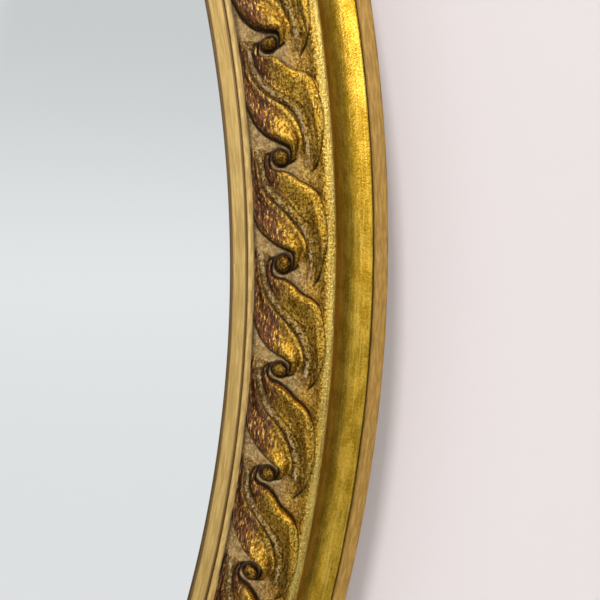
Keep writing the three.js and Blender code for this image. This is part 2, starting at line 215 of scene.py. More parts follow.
class Wire:
    """The output of a node, used like a number."""

    def __init__(self, finish, socket):
        self.finish = finish
        self.socket = socket

    def math(self, operation, *values):
        sockets = dict(enumerate(values))
        return self.finish.node("ShaderNodeMath", {"operation": operation}, sockets)

    def __add__(self, other):
        return self.math("ADD", self, other)

    def __sub__(self, other):
        return self.math("SUBTRACT", self, other)

    def __rsub__(self, other):
        return self.math("SUBTRACT", other, self)

    def __mul__(self, other):
        return self.math("MULTIPLY", self, other)

    def __pow__(self, other):
        return self.math("POWER", self, other)

    def __rpow__(self, other):
        return self.math("POWER", other, self)

    __radd__ = __add__
    __rmul__ = __mul__

    def size(self):
        return self.math("ABSOLUTE", self)

    def remainder(self):
        """What is left above the last whole number."""
        return self.math("FRACT", self)

    def above(self, other):
        """The larger of the two."""
        return self.math("MAXIMUM", self, other)

    def less_than(self, limit):
        """1 where the value is less than the limit, 0 elsewhere."""
        return self.math("LESS_THAN", self, limit)


# %% [markdown]
# ## The helpers of a finish
#
# The finishes of this mirror are noises, soft steps between two values, and colours laid over each other like
# coats of clay, leaf and wax. Each of these has a short method of its own below, and all of them call the one
# method that adds a node. A Mix node has a set of sockets for each kind of value, so those that carry colours
# are named once here.

# %% A finish and its nodes
MIX_FIRST, MIX_SECOND, MIX_RESULT = 6, 7, 2


def colour(value):
    """A colour socket's value: links stay, and plain colours get an alpha of 1."""
    return value if isinstance(value, Wire) else (*value, 1)


class Finish:
    """The nodes of a material or of the world, made one call at a time."""

    def __init__(self, owner):
        owner.use_nodes = True
        self.owner = owner
        self.tree = owner.node_tree
        self.tree.nodes.clear()

    def node(self, kind, settings=None, sockets=None, output=0):
        """Adds a node, makes its settings, fills its sockets, and gives back one of its outputs."""
        node = self.tree.nodes.new(kind)
        for setting, value in (settings or {}).items():
            setattr(node, setting, value)
        for socket, value in (sockets or {}).items():
            if isinstance(value, Wire):
                self.tree.links.new(value.socket, node.inputs[socket])
            else:
                node.inputs[socket].default_value = value
        return Wire(self, node.outputs[output]) if node.outputs else None

    def attribute(self, name, output="Fac"):
        """A value that was kept on the points of the mesh."""
        return self.node("ShaderNodeAttribute", {"attribute_name": name}, {}, output)

    def coordinates(self, kind="Object"):
        return self.node("ShaderNodeTexCoord", {}, {}, kind)

    def one_axis(self, place, axis):
        return self.node("ShaderNodeSeparateXYZ", {}, {"Vector": place}, axis)

    def vector_sum(self, operation, first, second, output="Vector"):
        return self.node("ShaderNodeVectorMath", {"operation": operation}, {0: first, 1: second}, output)

    def stretch(self, place, x, y, z):
        """The same places, drawn out or squeezed along each axis."""
        return self.vector_sum("MULTIPLY", place, (x, y, z))

    def step(self, value, start, end):
        """0 before start, 1 after end, and smooth between them."""
        settings = {"interpolation_type": "SMOOTHSTEP"}
        return self.node("ShaderNodeMapRange", settings, {"Value": value, "From Min": start, "From Max": end})

    def noise(self, place, scale, detail, roughness):
        sockets = {"Vector": place, "Scale": scale, "Detail": detail, "Roughness": roughness}
        return self.node("ShaderNodeTexNoise", {}, sockets)

    def mix(self, share, first, second):
        """Two colours, the second laid over the first by a share from 0 to 1."""
        colours = {0: share, MIX_FIRST: colour(first), MIX_SECOND: colour(second)}
        return self.node("ShaderNodeMix", {"data_type": "RGBA"}, colours, MIX_RESULT)

    def bump(self, height, distance, strength):
        sockets = {"Height": height, "Distance": distance, "Strength": strength}
        return self.node("ShaderNodeBump", {}, sockets)

    def surface(self, **sockets):
        """Ends the finish in one Principled shader; socket names are written with underscores."""
        named = {name.replace("_", " "): value for name, value in sockets.items()}
        shader = self.node("ShaderNodeBsdfPrincipled", {}, named)
        self.node("ShaderNodeOutputMaterial", {}, {"Surface": shader})
        print(self.owner.name, "has", len(self.tree.nodes), "nodes")
        return self.owner


# %% [markdown]
# ## Drawing the ribbon
#
# The carver draws one repeat of the ribbon on the wood and moves the pattern along, once for each pearl. Two
# leaves meet in each repeat. The outer one starts as a thin crescent under its pearl, swells across the band
# and thins out along the ridge. The inner one is the same shape turned half round: it starts along the
# fillet, swells, and ends as a crescent over the next pearl. Each leaf has one crisp edge, where the ground
# was cut away beside it, and one soft edge that dips into the fold between the two.
#
# An outline is a list of points joined by a smooth curve. The first number is the place along the repeat,
# clockwise from one pearl to the next, and the second the millimetres outwards from the circle of pearls.

# %% Outlines of the two leaves
OUTER_CRISP = [
    (-0.07, -1.1), (-0.034, -2.7), (0.04, -3.15), (0.085, -2.9), (0.112, -1.6), (0.13, 0.65),
    (0.178, 2.9), (0.25, 5.1), (0.292, 7.3), (0.341, 9.1), (0.43, 10.7), (0.61, 11.7),
    (0.79, 12.0), (0.955, 11.3), (1.09, 9.9), (1.18, 8.0),
]
OUTER_SOFT = [
    (-0.07, -1.1), (-0.034, -3.8), (0.05, -4.5), (0.159, -4.1), (0.25, -3.1), (0.33, -1.6),
    (0.455, 2.1), (0.576, 6.1), (0.648, 7.6), (0.79, 8.9), (0.932, 9.5), (1.07, 8.8), (1.18, 8.0),
]
INNER_CRISP = [
    (-0.148, -7.6), (0.045, -8.4), (0.273, -8.6), (0.443, -8.5), (0.568, -7.9), (0.67, -6.7),
    (0.75, -4.9), (0.807, -3.1), (0.852, -0.9), (0.892, 1.4), (0.918, 2.6), (0.96, 2.9),
    (1.0, 2.8), (1.04, 2.3), (1.076, 0.74),
]
INNER_SOFT = [
    (-0.148, -7.6), (0.045, -6.9), (0.239, -6.2), (0.375, -4.5), (0.483, -1.3), (0.58, 1.67),
    (0.727, 4.7), (0.818, 5.9), (0.898, 6.0), (1.0, 4.6), (1.043, 3.3), (1.076, 0.74),
]
FOLD = [
    (-0.12, -6.6), (0.045, -5.7), (0.227, -4.7), (0.352, -2.9), (0.443, -0.4), (0.511, 1.86),
    (0.614, 4.7), (0.727, 6.3), (0.875, 7.4), (1.01, 7.4), (1.13, 6.9),
]
PEARL_RADIUS = 2.3
leaf_edges = (OUTER_CRISP, OUTER_SOFT, INNER_CRISP, INNER_SOFT)
print("points to each edge of the leaves:", [len(points) for points in leaf_edges])

# %% [markdown]
# ## Measuring from an outline
#
# How high the wood stands at a place depends on how far that place is from the edges of its leaf. So a smooth
# curve is drawn through each outline, and three short helpers give the curve, the distance to it, and whether
# a place lies inside it. They work on whole arrays of places, which is far quicker than one place at a time.

# %% Distances and insides of outlines


def curve_through(points, steps=6):
    """A smooth curve through the points, as an array of places in millimetres."""
    knots = np.array(points, float) * (PITCH / MM, 1)
    padded = np.vstack([2 * knots[0] - knots[1], knots, 2 * knots[-1] - knots[-2]])
    share = np.linspace(0, 1, steps, endpoint=False)[:, None]
    runs = []
    for before, start, end, after in zip(padded, padded[1:], padded[2:], padded[3:]):
        bend = 2 * before - 5 * start + 4 * end - after
        twist = 3 * start - before - 3 * end + after
        runs.append(start + 0.5 * share * (end - before + share * (bend + share * twist)))
    return np.vstack([*runs, knots[-1:]])


def distance_to(line, along, across):
    """Distance in millimetres from each place to a line."""
    nearest = np.full(along.shape, np.inf)
    for (x0, y0), (x1, y1) in zip(line, line[1:]):
        dx, dy = x1 - x0, y1 - y0
        share = np.clip(((along - x0) * dx + (across - y0) * dy) / (dx * dx + dy * dy), 0, 1)
        nearest = np.minimum(nearest, np.hypot(along - x0 - share * dx, across - y0 - share * dy))
    return nearest


def inside_of(outline, along, across):
    """Whether each place lies inside a closed outline."""
    inside = np.zeros(along.shape, bool)
    for (x0, y0), (x1, y1) in zip(outline, np.roll(outline, -1, axis=0)):
        if y0 == y1:
            continue
        crosses = (y0 > across) != (y1 > across)
        inside ^= crosses & (along < x0 + (across - y0) * (x1 - x0) / (y1 - y0))
    return inside


# %% [markdown]
# ## The height of one leaf
#
# Across a leaf, the wood climbs out of the cut beside its crisp edge in a quarter round, is highest near
# that edge, and dips towards the fold. Where the leaf is thin it also stands lower, so its ends sink into
# the ground. Besides the height, the signed distance to the outline is kept: the finish uses it for the
# dark line in every cut, which is painted shade together with toning wax.

# %% Heights across a leaf
ROUNDING = 1.2  # millimetres over which a leaf climbs out of its cut
FULL_WIDTH = 4.6  # millimetres at which a leaf stands at its full height


def ease(value):
    """0 below 0, 1 above 1, and smooth between."""
    value = np.clip(value, 0, 1)
    return value * value * (3 - 2 * value)


def quarter_round(value):
    return np.sqrt(1 - (1 - np.clip(value, 0, 1)) ** 2)


def leaf(crisp, soft, along, across, dip):
    """Height of a leaf as a share of the relief, its signed edge distance, and how crisp that edge is."""
    crisp_line, soft_line = curve_through(crisp), curve_through(soft)
    to_crisp = distance_to(crisp_line, along, across)
    to_soft = distance_to(soft_line, along, across)
    inside = inside_of(np.vstack([crisp_line, soft_line[::-1]]), along, across)
    width = to_crisp + to_soft
    share = to_crisp / np.maximum(width, 1e-6)
    slope = 1 - dip * ease((share - 0.25) / 0.75)
    stand = 0.3 + 0.7 * ease(width / FULL_WIDTH)
    height = np.where(inside, quarter_round(to_crisp / ROUNDING) * slope * stand, 0)
    edge = np.where(inside, 1, -1) * np.minimum(to_crisp, to_soft)
    return height, edge, ease(0.5 + (to_soft - to_crisp) / ROUNDING)


def turned_side(along, across):
    """Height of the turned-over side of the outer leaf, down to where the inner leaf begins, and its mask."""
    upper, lower = curve_through(OUTER_SOFT), curve_through(INNER_SOFT)
    inside = inside_of(np.vstack([upper, lower[::-1]]), along, across)
    to_upper, to_lower = distance_to(upper, along, across), distance_to(lower, along, across)
    width = to_upper + to_lower
    slope = 0.42 - 0.2 * to_upper / np.maximum(width, 1e-6)
    covered = 1 - ease((width - 3.4) / 1.6)
    return np.where(inside, slope * covered, 0), np.where(inside, covered, 0)


# %% [markdown]
# ## One repeat of the ribbon
#
# Both leaves of a repeat run on into the next one, so each place is measured against the repeat that it is in
# and the two beside it, and the highest wood wins, just as the carver leaves it. A thin strip stands along
# the fold. Last come the cut that the gouge leaves beside each crisp edge, and the pearl, a half ball in a
# shallow groove.

# %% Leaves, fold, cuts and pearl together
MARKS = ("relief", "outer", "inner", "crisp", "turned", "strip", "pearl")
FAR = -9.0  # the mark of a place far outside every outline, in millimetres
STRIP_HALF = 0.9  # half the width of the strip along the fold
CUT_WIDTH = 0.35
CUT_DEPTH = 0.14  # as a share of the relief, like the next
PEARL_HEIGHT = 0.72


def fold_strip(x, across):
    """Height of the strip along the fold, fading at both of its ends, and the mark for it."""
    away = distance_to(curve_through(FOLD), x, across)
    height = np.where(away < STRIP_HALF, 0.24 + 0.3 * quarter_round(1 - away / STRIP_HALF), 0)
    return height * ease((x + 4) / 4) * ease((1.15 * PITCH / MM - x) / 4), STRIP_HALF - away


def ribbon(along, across):
    """The carved band at each place: height as a share of the relief, and the marks used by the finish."""
    pitch = PITCH / MM
    height, crisp, turned = np.zeros((3, *along.shape))
    outer, inner, strip, pearl = np.full((4, *along.shape), FAR)
    for shift in (-pitch, 0, pitch):
        x = along - shift
        outer_height, outer_edge, outer_crisp = leaf(OUTER_CRISP, OUTER_SOFT, x, across, 0.55)
        outer_crisp = np.maximum(outer_crisp, ease((0.33 * pitch - x) / 3))
        inner_height, inner_edge, inner_crisp = leaf(INNER_CRISP, INNER_SOFT, x, across, 0.8)
        crisp = np.where(outer_edge > outer, outer_crisp, crisp)
        outer = np.maximum(outer, outer_edge)
        crisp = np.where((inner_edge > inner) & (abs(inner_edge) < abs(outer)), inner_crisp, crisp)
        inner = np.maximum(inner, inner_edge)
        side_height, side = turned_side(x, across)
        turned = np.maximum(turned, side)
        strip_height, on_strip = fold_strip(x, across)
        strip = np.maximum(strip, on_strip)
        height = np.maximum.reduce([height, outer_height, inner_height, side_height, strip_height])
        pearl = np.maximum(pearl, PEARL_RADIUS - np.hypot(x, across))
    height = height - CUT_DEPTH * np.exp(-((np.maximum(outer, inner) / CUT_WIDTH) ** 2)) * crisp
    dome = PEARL_HEIGHT * np.sqrt(np.clip(1 - (1 - pearl / PEARL_RADIUS) ** 2, 0, 1))
    groove = CUT_DEPTH * np.exp(-(((pearl + 0.2) / 0.3) ** 2))
    height = np.where(pearl > -0.5, dome - groove, height)
    return height, outer, inner, crisp, turned, strip, pearl


# %% [markdown]
# ## The section of the ring
#
# Seen cut through, the ring has an inner fillet, the carved band climbing outwards, a rounded ridge, a deep
# hollow that rises again to a sharp arris, and a flat outer band one small step down. Rows are close
# together where the section turns sharply, so that the edges stay crisp when the faces are shaded smooth.

# %% Rows from the lip to the outer edge


def ground_height(across):
    """Height of the ground under the ribbon, in metres above the joint, across in millimetres."""
    places = [-8.6, -6, 0, 3.7, 7.4, 9.6, 10.5, 11.2, 12.0, 13.0, 13.7, 14.0, 14.3]
    heights = [3.7, 4.2, 6.4, 7.9, 9.4, 10.9, 12.1, 12.95, 13.35, 13.4, 13.35, 13.15, 12.6]
    return np.interp(across, places, heights) * MM


def round_corner(radius, height, turn, size, steps=4):
    """Points of a rounded corner. turn gives the directions in from each side."""
    (ax, ay), (bx, by) = turn
    shares = np.linspace(0, 1, steps + 1)
    return [
        (radius + size * (ax * (1 - s) ** 2 + bx * s**2), height + size * (ay * (1 - s) ** 2 + by * s**2))
        for s in shares
    ]


ridge_start = LIP + FILLET + CARVED
cove_start = ridge_start + RIDGE + ROUNDED
band_start = cove_start + COVE
BREAK = 0.6 * MM  # how far a sharp corner is rounded over

fillet_rows = [
    (LIP, 0),
    (LIP, 0.8 * FILLET_HEIGHT),
    *round_corner(LIP, FILLET_HEIGHT, ((0, -1), (1, 0)), BREAK),
    (LIP + 1.6 * MM, FILLET_HEIGHT - 0.05 * MM),
    (LIP + 1.8 * MM, FILLET_HEIGHT - 0.35 * MM),
]
carved_across = np.concatenate(
    [np.arange(-8.3, 12.0, 0.315), [12.2, 12.6, 13.0, 13.4, 13.75, 14.0, 14.2]]
)
cove_rows = [
    (
        cove_start + COVE * share**1.4,
        COVE_HEIGHT
        + (RIDGE_HEIGHT - 0.9 * MM - COVE_HEIGHT) * (1 - share) ** 3
        + (ARRIS_HEIGHT - COVE_HEIGHT) * share**4,
    )
    for share in [0.0, 0.004, 0.01, *np.linspace(0.02, 1, 21)]
]
band_rows = [
    (band_start + 0.02 * MM, ARRIS_HEIGHT - 0.15 * MM),
    (band_start + 0.06 * MM, BAND_HEIGHT - 0.25 * MM),
    (band_start + 0.3 * MM, BAND_HEIGHT - 0.3 * MM),
    (band_start + 0.5 * MM, BAND_HEIGHT),
    (band_start + 1.5 * MM, BAND_HEIGHT + 0.02 * MM),
    (band_start + 2.7 * MM, BAND_HEIGHT),
    *round_corner(OUTER, BAND_HEIGHT, ((-1, 0), (0, -1)), BREAK),
    (OUTER, 0.6 * BAND_HEIGHT),
    (OUTER - 0.15 * MM, 0),
]
print("rows:", len(fillet_rows), len(carved_across), len(cove_rows), len(band_rows))

# %% [markdown]
# ## The section in one piece
#
# The rows are now joined into two columns of numbers: millimetres across, counted from the circle of pearls,
# and heights in metres. The places where one moulding ends and the next starts are written down the same way,
# because the gilding changes there too. The fillet is shaped a hair wider than its nominal width.

# %% Join the rows and mark the edges


def from_pearls(radius):
    """Millimetres across, counted outwards from the circle of pearls."""
    return (radius - PEARL_CIRCLE) / MM


outside_rows = cove_rows + band_rows
inside_across = [from_pearls(radius) for radius, _ in fillet_rows]
outside_across = [from_pearls(radius) for radius, _ in outside_rows]
inside_height = [height for _, height in fillet_rows]
outside_height = [height for _, height in outside_rows]
section_across = np.concatenate([inside_across, carved_across, outside_across])[:, None]
section_height = np.concatenate([inside_height, ground_height(carved_across), outside_height])[:, None]
CARVED_ROWS = slice(len(fillet_rows), len(fillet_rows) + len(carved_across))

LIP_EDGE = from_pearls(LIP)
FILLET_EDGE = from_pearls(LIP + FILLET + 0.2 * MM)
RIDGE_EDGE = from_pearls(ridge_start)
HOLLOW_EDGE = from_pearls(cove_start)
BAND_EDGE = from_pearls(band_start)
edges = (LIP_EDGE, FILLET_EDGE, RIDGE_EDGE, HOLLOW_EDGE, BAND_EDGE)
print("edges of the mouldings (mm from the pearls):", [round(float(edge), 2) for edge in edges])

# %% [markdown]
# ## Columns that follow the cuts
#
# The leaves run slantwise over the band. If the columns of the grid ran straight across, every cut would
# step from column to column like a saw. So inside the carved band the columns lean with the leaves, by a
# little more than three quarters of a millimetre for each millimetre outwards, and they straighten up again
# towards the ends of a segment, where the saw cut is square.
#
# The pearls stand at even distances, one of them exactly at 3 o'clock. What a hand does less evenly is added
# afterwards, as a slow wobble of the ribbon's outline and height.

# %% Where the pearls stand
COLUMNS_EACH = 76
LEAN = 0.027  # of a repeat for each millimetre outwards
print(f"the columns lean {LEAN * PITCH / MM:.2f} mm for each millimetre outwards")


def pearl_angle(pearls):
    """Angle in radians of a place counted in pearls, anticlockwise from 3 o'clock as seen from the front."""
    return pearls / PEARLS * 2 * math.pi


def hand_wander(angle, seed, size):
    """A slow, seamless wobble round the whole ring, such as a hand-held tool leaves."""
    dice = np.random.default_rng(seed)
    turns = dice.integers(30, 240, 6)
    phases = dice.uniform(0, 2 * math.pi, 6)
    return size / 3 * sum(np.sin(turn * angle + phase) for turn, phase in zip(turns, phases))


# %% [markdown]
# ## Working out one repeat only once
#
# The ring has about eight hundred thousand points. Measuring every one of them against every outline would
# take minutes. All repeats have the same outline, so it is measured on one fine grid, and the points of the
# ring then read their height and marks from the four nearest places of that grid.

# %% Work out one repeat on a fine grid
FINE = 0.1  # millimetres between the places of the grid
fine_along = np.arange(0, PITCH / MM, FINE)
fine_across = np.arange(-9.5, 14.3, FINE)
fine_repeat = np.stack(ribbon(*np.meshgrid(fine_along, fine_across)))
print("marks, rows and columns of the fine grid:", fine_repeat.shape)


def carved_at(along, across):
    """The marks of the ribbon at any places, read from the fine grid between its four nearest places."""
    column = along / FINE % len(fine_along)
    row = np.clip((across - fine_across[0]) / FINE, 0, len(fine_across) - 1.001)
    left, low = column.astype(int), row.astype(int)
    right, x, y = (left + 1) % len(fine_along), column - left, row - low
    near = fine_repeat[:, low, left] * (1 - x) + fine_repeat[:, low, right] * x
    far = fine_repeat[:, low + 1, left] * (1 - x) + fine_repeat[:, low + 1, right] * x
    return near * (1 - y) + far * y


# %% [markdown]
# ## Building one segment
#
# A frame maker glues the ring from eight lengths and carves it as a whole, so the ribbon runs on across the
# joints. Here each length is a grid of its own with flat ends and a hairline gap to its neighbour. A height
# map laid over a plain ring would be shorter to write, but it can't give crisp cuts without many more faces.

# %% Build one segment


def cut_ribbon(pearls, clockwise, angle):
    """Heights above the joint with the ribbon cut in, as unevenly as by hand, and the marks."""
    wobble_along = hand_wander(angle, 11, 0.4) + 0.15 * np.sin(section_across * 0.7 + pearls * 9)
    wobble_across = hand_wander(angle, 12, 0.3)
    place_along = (clockwise * PITCH / MM + wobble_along)[CARVED_ROWS]
    place_across = (section_across + wobble_across)[CARVED_ROWS]
    height = np.repeat(section_height, pearls.size, axis=1)
    marks = np.full((len(MARKS), *height.shape), FAR)
    marks[:, CARVED_ROWS] = carved_at(place_along, place_across)
    fade = ease((12.2 - section_across[CARVED_ROWS]) / 1.6)
    strength = 1 + hand_wander(angle[CARVED_ROWS], 13, 0.12)
    height[CARVED_ROWS] += RELIEF * marks[0, CARVED_ROWS] * strength * fade
    beyond_fillet = slice(CARVED_ROWS.start, None)
    height[beyond_fillet] += hand_wander(angle, 14, 0.06 * MM)[beyond_fillet]
    height[-1] = section_height[-1]
    return np.minimum(height, RIDGE_HEIGHT - 0.02 * MM), marks


def carved_mesh(number):
    """One carved segment, centred at number * 45 degrees, with the marks that its finish reads."""
    half = PEARLS_EACH / 2
    pearls = np.linspace(-half, half, PEARLS_EACH * COLUMNS_EACH + 1)[None, :]
    lean = LEAN * np.clip(section_across, -8.6, 12.0) * ease((half - np.abs(pearls)) / 1.2)
    clockwise = pearls + lean
    angle = pearl_angle(number * PEARLS_EACH - clockwise)
    height, marks = cut_ribbon(pearls, clockwise, angle)

    radius = PEARL_CIRCLE + section_across * MM
    angle = angle + JOINT_GAP / 2 / radius * np.sign(pearls) * (np.abs(pearls) == half)
    points = np.stack([radius * np.cos(angle), -(JOINT + height), radius * np.sin(angle)], axis=-1)
    rows, columns = height.shape
    faces = grid_faces(rows, columns, wrap_rows=True) + end_caps(rows, columns)
    mesh = body_mesh(f"carved {number + 1}", points.reshape(-1, 3).tolist(), faces, 2)
    for name, values in zip(MARKS, marks):
        keep(mesh, name, values)
    keep_place(mesh, angle, section_across, height)
    return mesh, rows, columns


# %% [markdown]
# ## Gold leaf
#
# The wood is covered with chalk ground, then with red clay, and leaf is laid on and burnished. Afterwards
# the gold is rubbed through to the clay where the brush ran along the ribbon, and a dark wax is wiped in,
# which stays in every cut, while a grey-brown wash settles on the ground between the leaves. The fillet
# and the outer band are left mat and pale. The finish also paints light and shade into the colours: shade
# in the cuts and folds, on the turned sides of the leaves, on the steep wall of the hollow and in the small
# step, and a highlight along the ridge.
#
# The finish is written in the same order. First it looks at each place: the marks that were kept on the mesh
# say whether it is on a leaf, on a pearl or in a cut, and a few noises break everything up.

# %% What the gilder sees at each place


class Look:
    """Marks, noises, and how much of each coat and of the painted shade and highlight shows on the carved
    ring.
    """

    def __init__(self, finish):
        self.finish = finish
        self.place = finish.attribute("place", "Vector")
        self.across = finish.one_axis(self.place, "Y")
        for mark in MARKS:
            setattr(self, mark, finish.attribute(mark))
        self.find_noises()
        self.find_parts()
        self.find_coats()

    def find_noises(self):
        """Noises, drawn out along the ring where a brush or a tool went that way."""
        noise, stretch, place = self.finish.noise, self.finish.stretch, self.place
        self.streaks = noise(stretch(place, 0.22, 1.5, 0.6), 1.0, 3.0, 0.6)
        self.flecks = noise(stretch(place, 0.5, 2.2, 1.0), 1.0, 2.0, 0.6)
        self.cloud = noise(stretch(place, 0.15, 0.3, 0.3), 1.0, 3.0, 0.55)
        self.blotch = noise(place, 0.6, 4.0, 0.65)
        self.mottle = noise(place, 1.5, 2.0, 0.6)
        self.pits = noise(stretch(place, 1.0, 1.3, 1.0), 3.0, 2.0, 0.6)
        self.brushed = noise(stretch(place, 0.05, 2.0, 0.5), 1.0, 3.0, 0.6)

    def find_parts(self):
        """Where the leaves, their turned sides, the pearls, the ridge and the hollow are."""
        step, across = self.finish.step, self.across
        self.leaf_edge = self.outer.above(self.inner)
        self.on_leaf = step(self.leaf_edge, -0.15, 0.1)
        self.on_pearl = step(self.pearl, -0.1, 0.2)
        self.on_side = step(self.turned, 0.1, 0.6) * (1 - self.on_leaf)
        self.on_ribbon = self.on_leaf.above(self.on_side)
        # low_tail marks the thin ends of the leaves by the ridge, which get painted shade.
        self.low_tail = step(across, 6.5, 9.0) * self.on_leaf * (1 - step(self.relief, 0.5, 0.8))
        past_fillet = step(across, FILLET_EDGE - 0.3, FILLET_EDGE)
        self.in_band = past_fillet * (1 - step(across, RIDGE_EDGE - 1.4, RIDGE_EDGE + 0.6))
        self.hollow = step(across, HOLLOW_EDGE - 0.4, HOLLOW_EDGE + 0.1)
        # ridge_top marks where the painted highlight along the ridge goes.
        on_ridge = step(across + (self.blotch - 0.5) * 2.5, RIDGE_EDGE + 0.5, RIDGE_EDGE + 1.7)
        self.ridge_top = on_ridge * (1 - step(across, HOLLOW_EDGE - 0.3, HOLLOW_EDGE + 0.1))
        # hollow_wall marks the steep wall of the hollow, which gets painted shade.
        below_ridge = step(across, HOLLOW_EDGE, HOLLOW_EDGE + 0.5)
        self.hollow_wall = below_ridge * (1 - step(across, HOLLOW_EDGE + 2.5, HOLLOW_EDGE + 4.5))

    def find_coats(self):
        """Where the clay shows, the wash lies, the wax and the painted shade lie, and the gold was left mat.
        """
        step, across = self.finish.step, self.across
        rubbed = (1 - step(across + (self.blotch - 0.5) * 7, -3.0, 5.0)) * self.on_ribbon
        self.clay = step(self.streaks + (rubbed - 1) * 0.3, 0.35, 0.43) * rubbed

        on_strip = step(self.strip, 0.05, 0.5) * (1 - self.on_leaf * 0.5)
        bare_ground = self.in_band * (1 - self.on_ribbon) * (1 - self.on_pearl)
        near_pearl = 1 - step(across, 3.0, 8.0) * 0.7
        on_crust = on_strip * step(self.blotch + self.mottle * 0.6, 0.74, 0.88)
        self.crust = (bare_ground * near_pearl).above(on_crust)

        # Painted shade in the sunk fold between the two leaves.
        sunk = 1 - step(self.relief, 0.25, 0.6)
        self.fold_shade = step(self.inner, 0.1, 1.3) * sunk * (1 - step(self.outer, -0.2, 0.2))
        # Painted shade with toning wax: dark lines in the cuts along the crisp leaf edges and round the
        # pearls.
        by_leaf = self.line(self.leaf_edge, 0.5) * self.crisp
        by_pearl = self.line(self.pearl + 0.1, 0.6)
        worn = step(self.blotch, 0.2, 0.45)
        cuts = by_leaf.above(by_pearl) * self.in_band * (worn * 0.45 + 0.55)
        # Painted shade: a dark line on the ground just beside the fillet.
        corner = step(across, FILLET_EDGE + 0.05, FILLET_EDGE + 0.2)
        shade_by_fillet = corner * (1 - step(across, FILLET_EDGE + 0.4, FILLET_EDGE + 1.4))
        self.nicks = step(self.pits, 0.66, 0.76) * (self.in_band * 0.6 + 0.3)
        self.wax_nicks_and_shade = cuts.above(self.nicks * 0.6).above(shade_by_fillet * 0.6)
        # Painted shade on the lip of the carved ring, in the gap where it meets the slip.
        self.shade_behind_slip = 1 - step(across, LIP_EDGE + 0.05, LIP_EDGE + 0.45)

        on_fillet = 1 - step(across, FILLET_EDGE - 0.05, FILLET_EDGE + 0.1)
        self.mat_zone = on_fillet + step(across, BAND_EDGE - 0.05, BAND_EDGE + 0.1)

    def line(self, edge, width):
        """A soft line along an edge."""
        return 1 - self.finish.step(edge.size(), width * 0.3, width)


# %% [markdown]
# ## The coats, one by one
#
# Each coat takes the colours so far and lays its own over them. The gold is mottled on the carving and
# brushed smooth in the hollow, and a pale band painted along the ridge stands for its highlight. Then come
# the clay that shows through, with painted shade on the turned sides and low tails of the leaves, the wash
# and the wax, with painted shade in the cuts and folds, on the steep wall of the hollow and beside the fillet
# and the slip, and last the mat bands, with a painted shadow in the step. The coats only choose colours. How
# rough and how metallic a place is follows from how much clay, wash and mat gold it has.

# %% Leaf, clay, wash, wax and mat gold, with painted shade and highlight


def leaf_coat_and_ridge_highlight(finish, look):
    patches = finish.step(look.cloud, 0.38, 0.62)
    on_carving = finish.mix(patches, (0.44, 0.215, 0.012), (0.76, 0.41, 0.034))
    in_hollow = finish.mix(patches, (0.50, 0.275, 0.013), (0.78, 0.455, 0.045))
    gold = finish.mix(look.hollow, on_carving, in_hollow)
    spotted = 0.8 - look.hollow * 0.6
    gold = finish.mix(finish.step(look.mottle, 0.52, 0.64) * spotted, gold, (0.98, 0.70, 0.17))
    gold = finish.mix((1 - finish.step(look.mottle, 0.38, 0.49)) * spotted, gold, (0.15, 0.062, 0.006))
    stains = finish.step(look.blotch, 0.58, 0.7) * (0.45 - look.hollow * 0.25)
    gold = finish.mix(stains, gold, (0.25, 0.12, 0.014))
    bright_strokes = look.hollow * finish.step(look.brushed, 0.5, 0.68) * 0.4
    gold = finish.mix(bright_strokes, gold, (0.92, 0.66, 0.15))
    dark_strokes = look.hollow * (1 - finish.step(look.brushed, 0.34, 0.5)) * 0.3
    gold = finish.mix(dark_strokes, gold, (0.40, 0.22, 0.010))
    # Painted highlight: a pale gold band along the top of the ridge, where the light catches it.
    ridge_highlight = look.ridge_top * (finish.step(look.brushed, 0.35, 0.6) * 0.5 + 0.15)
    return finish.mix(ridge_highlight, gold, (0.92, 0.70, 0.20))


def clay_coat_and_side_shade(finish, look, colours):
    clay_tone = finish.mix(finish.step(look.flecks, 0.42, 0.56), (0.022, 0.006, 0.003), (0.23, 0.062, 0.016))
    colours = finish.mix(look.clay * 0.95, colours, clay_tone)
    left_over = finish.step(look.flecks, 0.6, 0.66) * look.on_leaf * 0.9
    colours = finish.mix(left_over, colours, (0.95, 0.62, 0.15))
    # Painted shade: the turned sides of the leaves and their low tails by the ridge are darkened to an olive
    # gold.
    olive_shade = finish.mix(finish.step(look.mottle, 0.35, 0.62), (0.055, 0.027, 0.004), (0.32, 0.19, 0.035))
    colours = finish.mix((look.on_side * 0.8).above(look.low_tail * 0.6), colours, olive_shade)
    bronze = finish.mix(finish.step(look.mottle, 0.4, 0.62), (0.035, 0.013, 0.004), (0.33, 0.18, 0.035))
    return finish.mix(look.on_pearl * 0.8, colours, bronze)


def wash_wax_and_shade(finish, look, colours):
    wash = finish.mix(finish.step(look.blotch, 0.35, 0.6), (0.17, 0.095, 0.028), (0.46, 0.32, 0.14))
    wash = finish.mix(finish.step(look.mottle, 0.54, 0.66) * 0.5, wash, (0.72, 0.54, 0.25))
    colours = finish.mix(look.crust * (finish.step(look.mottle, 0.36, 0.56) * 0.5 + 0.4), colours, wash)
    # Painted shade: the sunk fold between the leaves is darkened.
    colours = finish.mix(look.fold_shade * 0.75, colours, (0.045, 0.016, 0.006))
    # Dark wax with painted shade in the cuts and beside the fillet, and dark nicks of wear.
    colours = finish.mix(look.wax_nicks_and_shade * 0.95, colours, (0.028, 0.010, 0.003))
    # Painted shade on the steep wall of the hollow just below the ridge, which faces away from the light.
    shaded = look.hollow_wall * (finish.step(look.brushed, 0.35, 0.65) * 0.3 + 0.1)
    colours = finish.mix(shaded, colours, (0.30, 0.15, 0.002))
    # Painted shade on the lip of the carved ring beside the slip.
    return finish.mix(look.shade_behind_slip * 0.7, colours, (0.10, 0.05, 0.01))


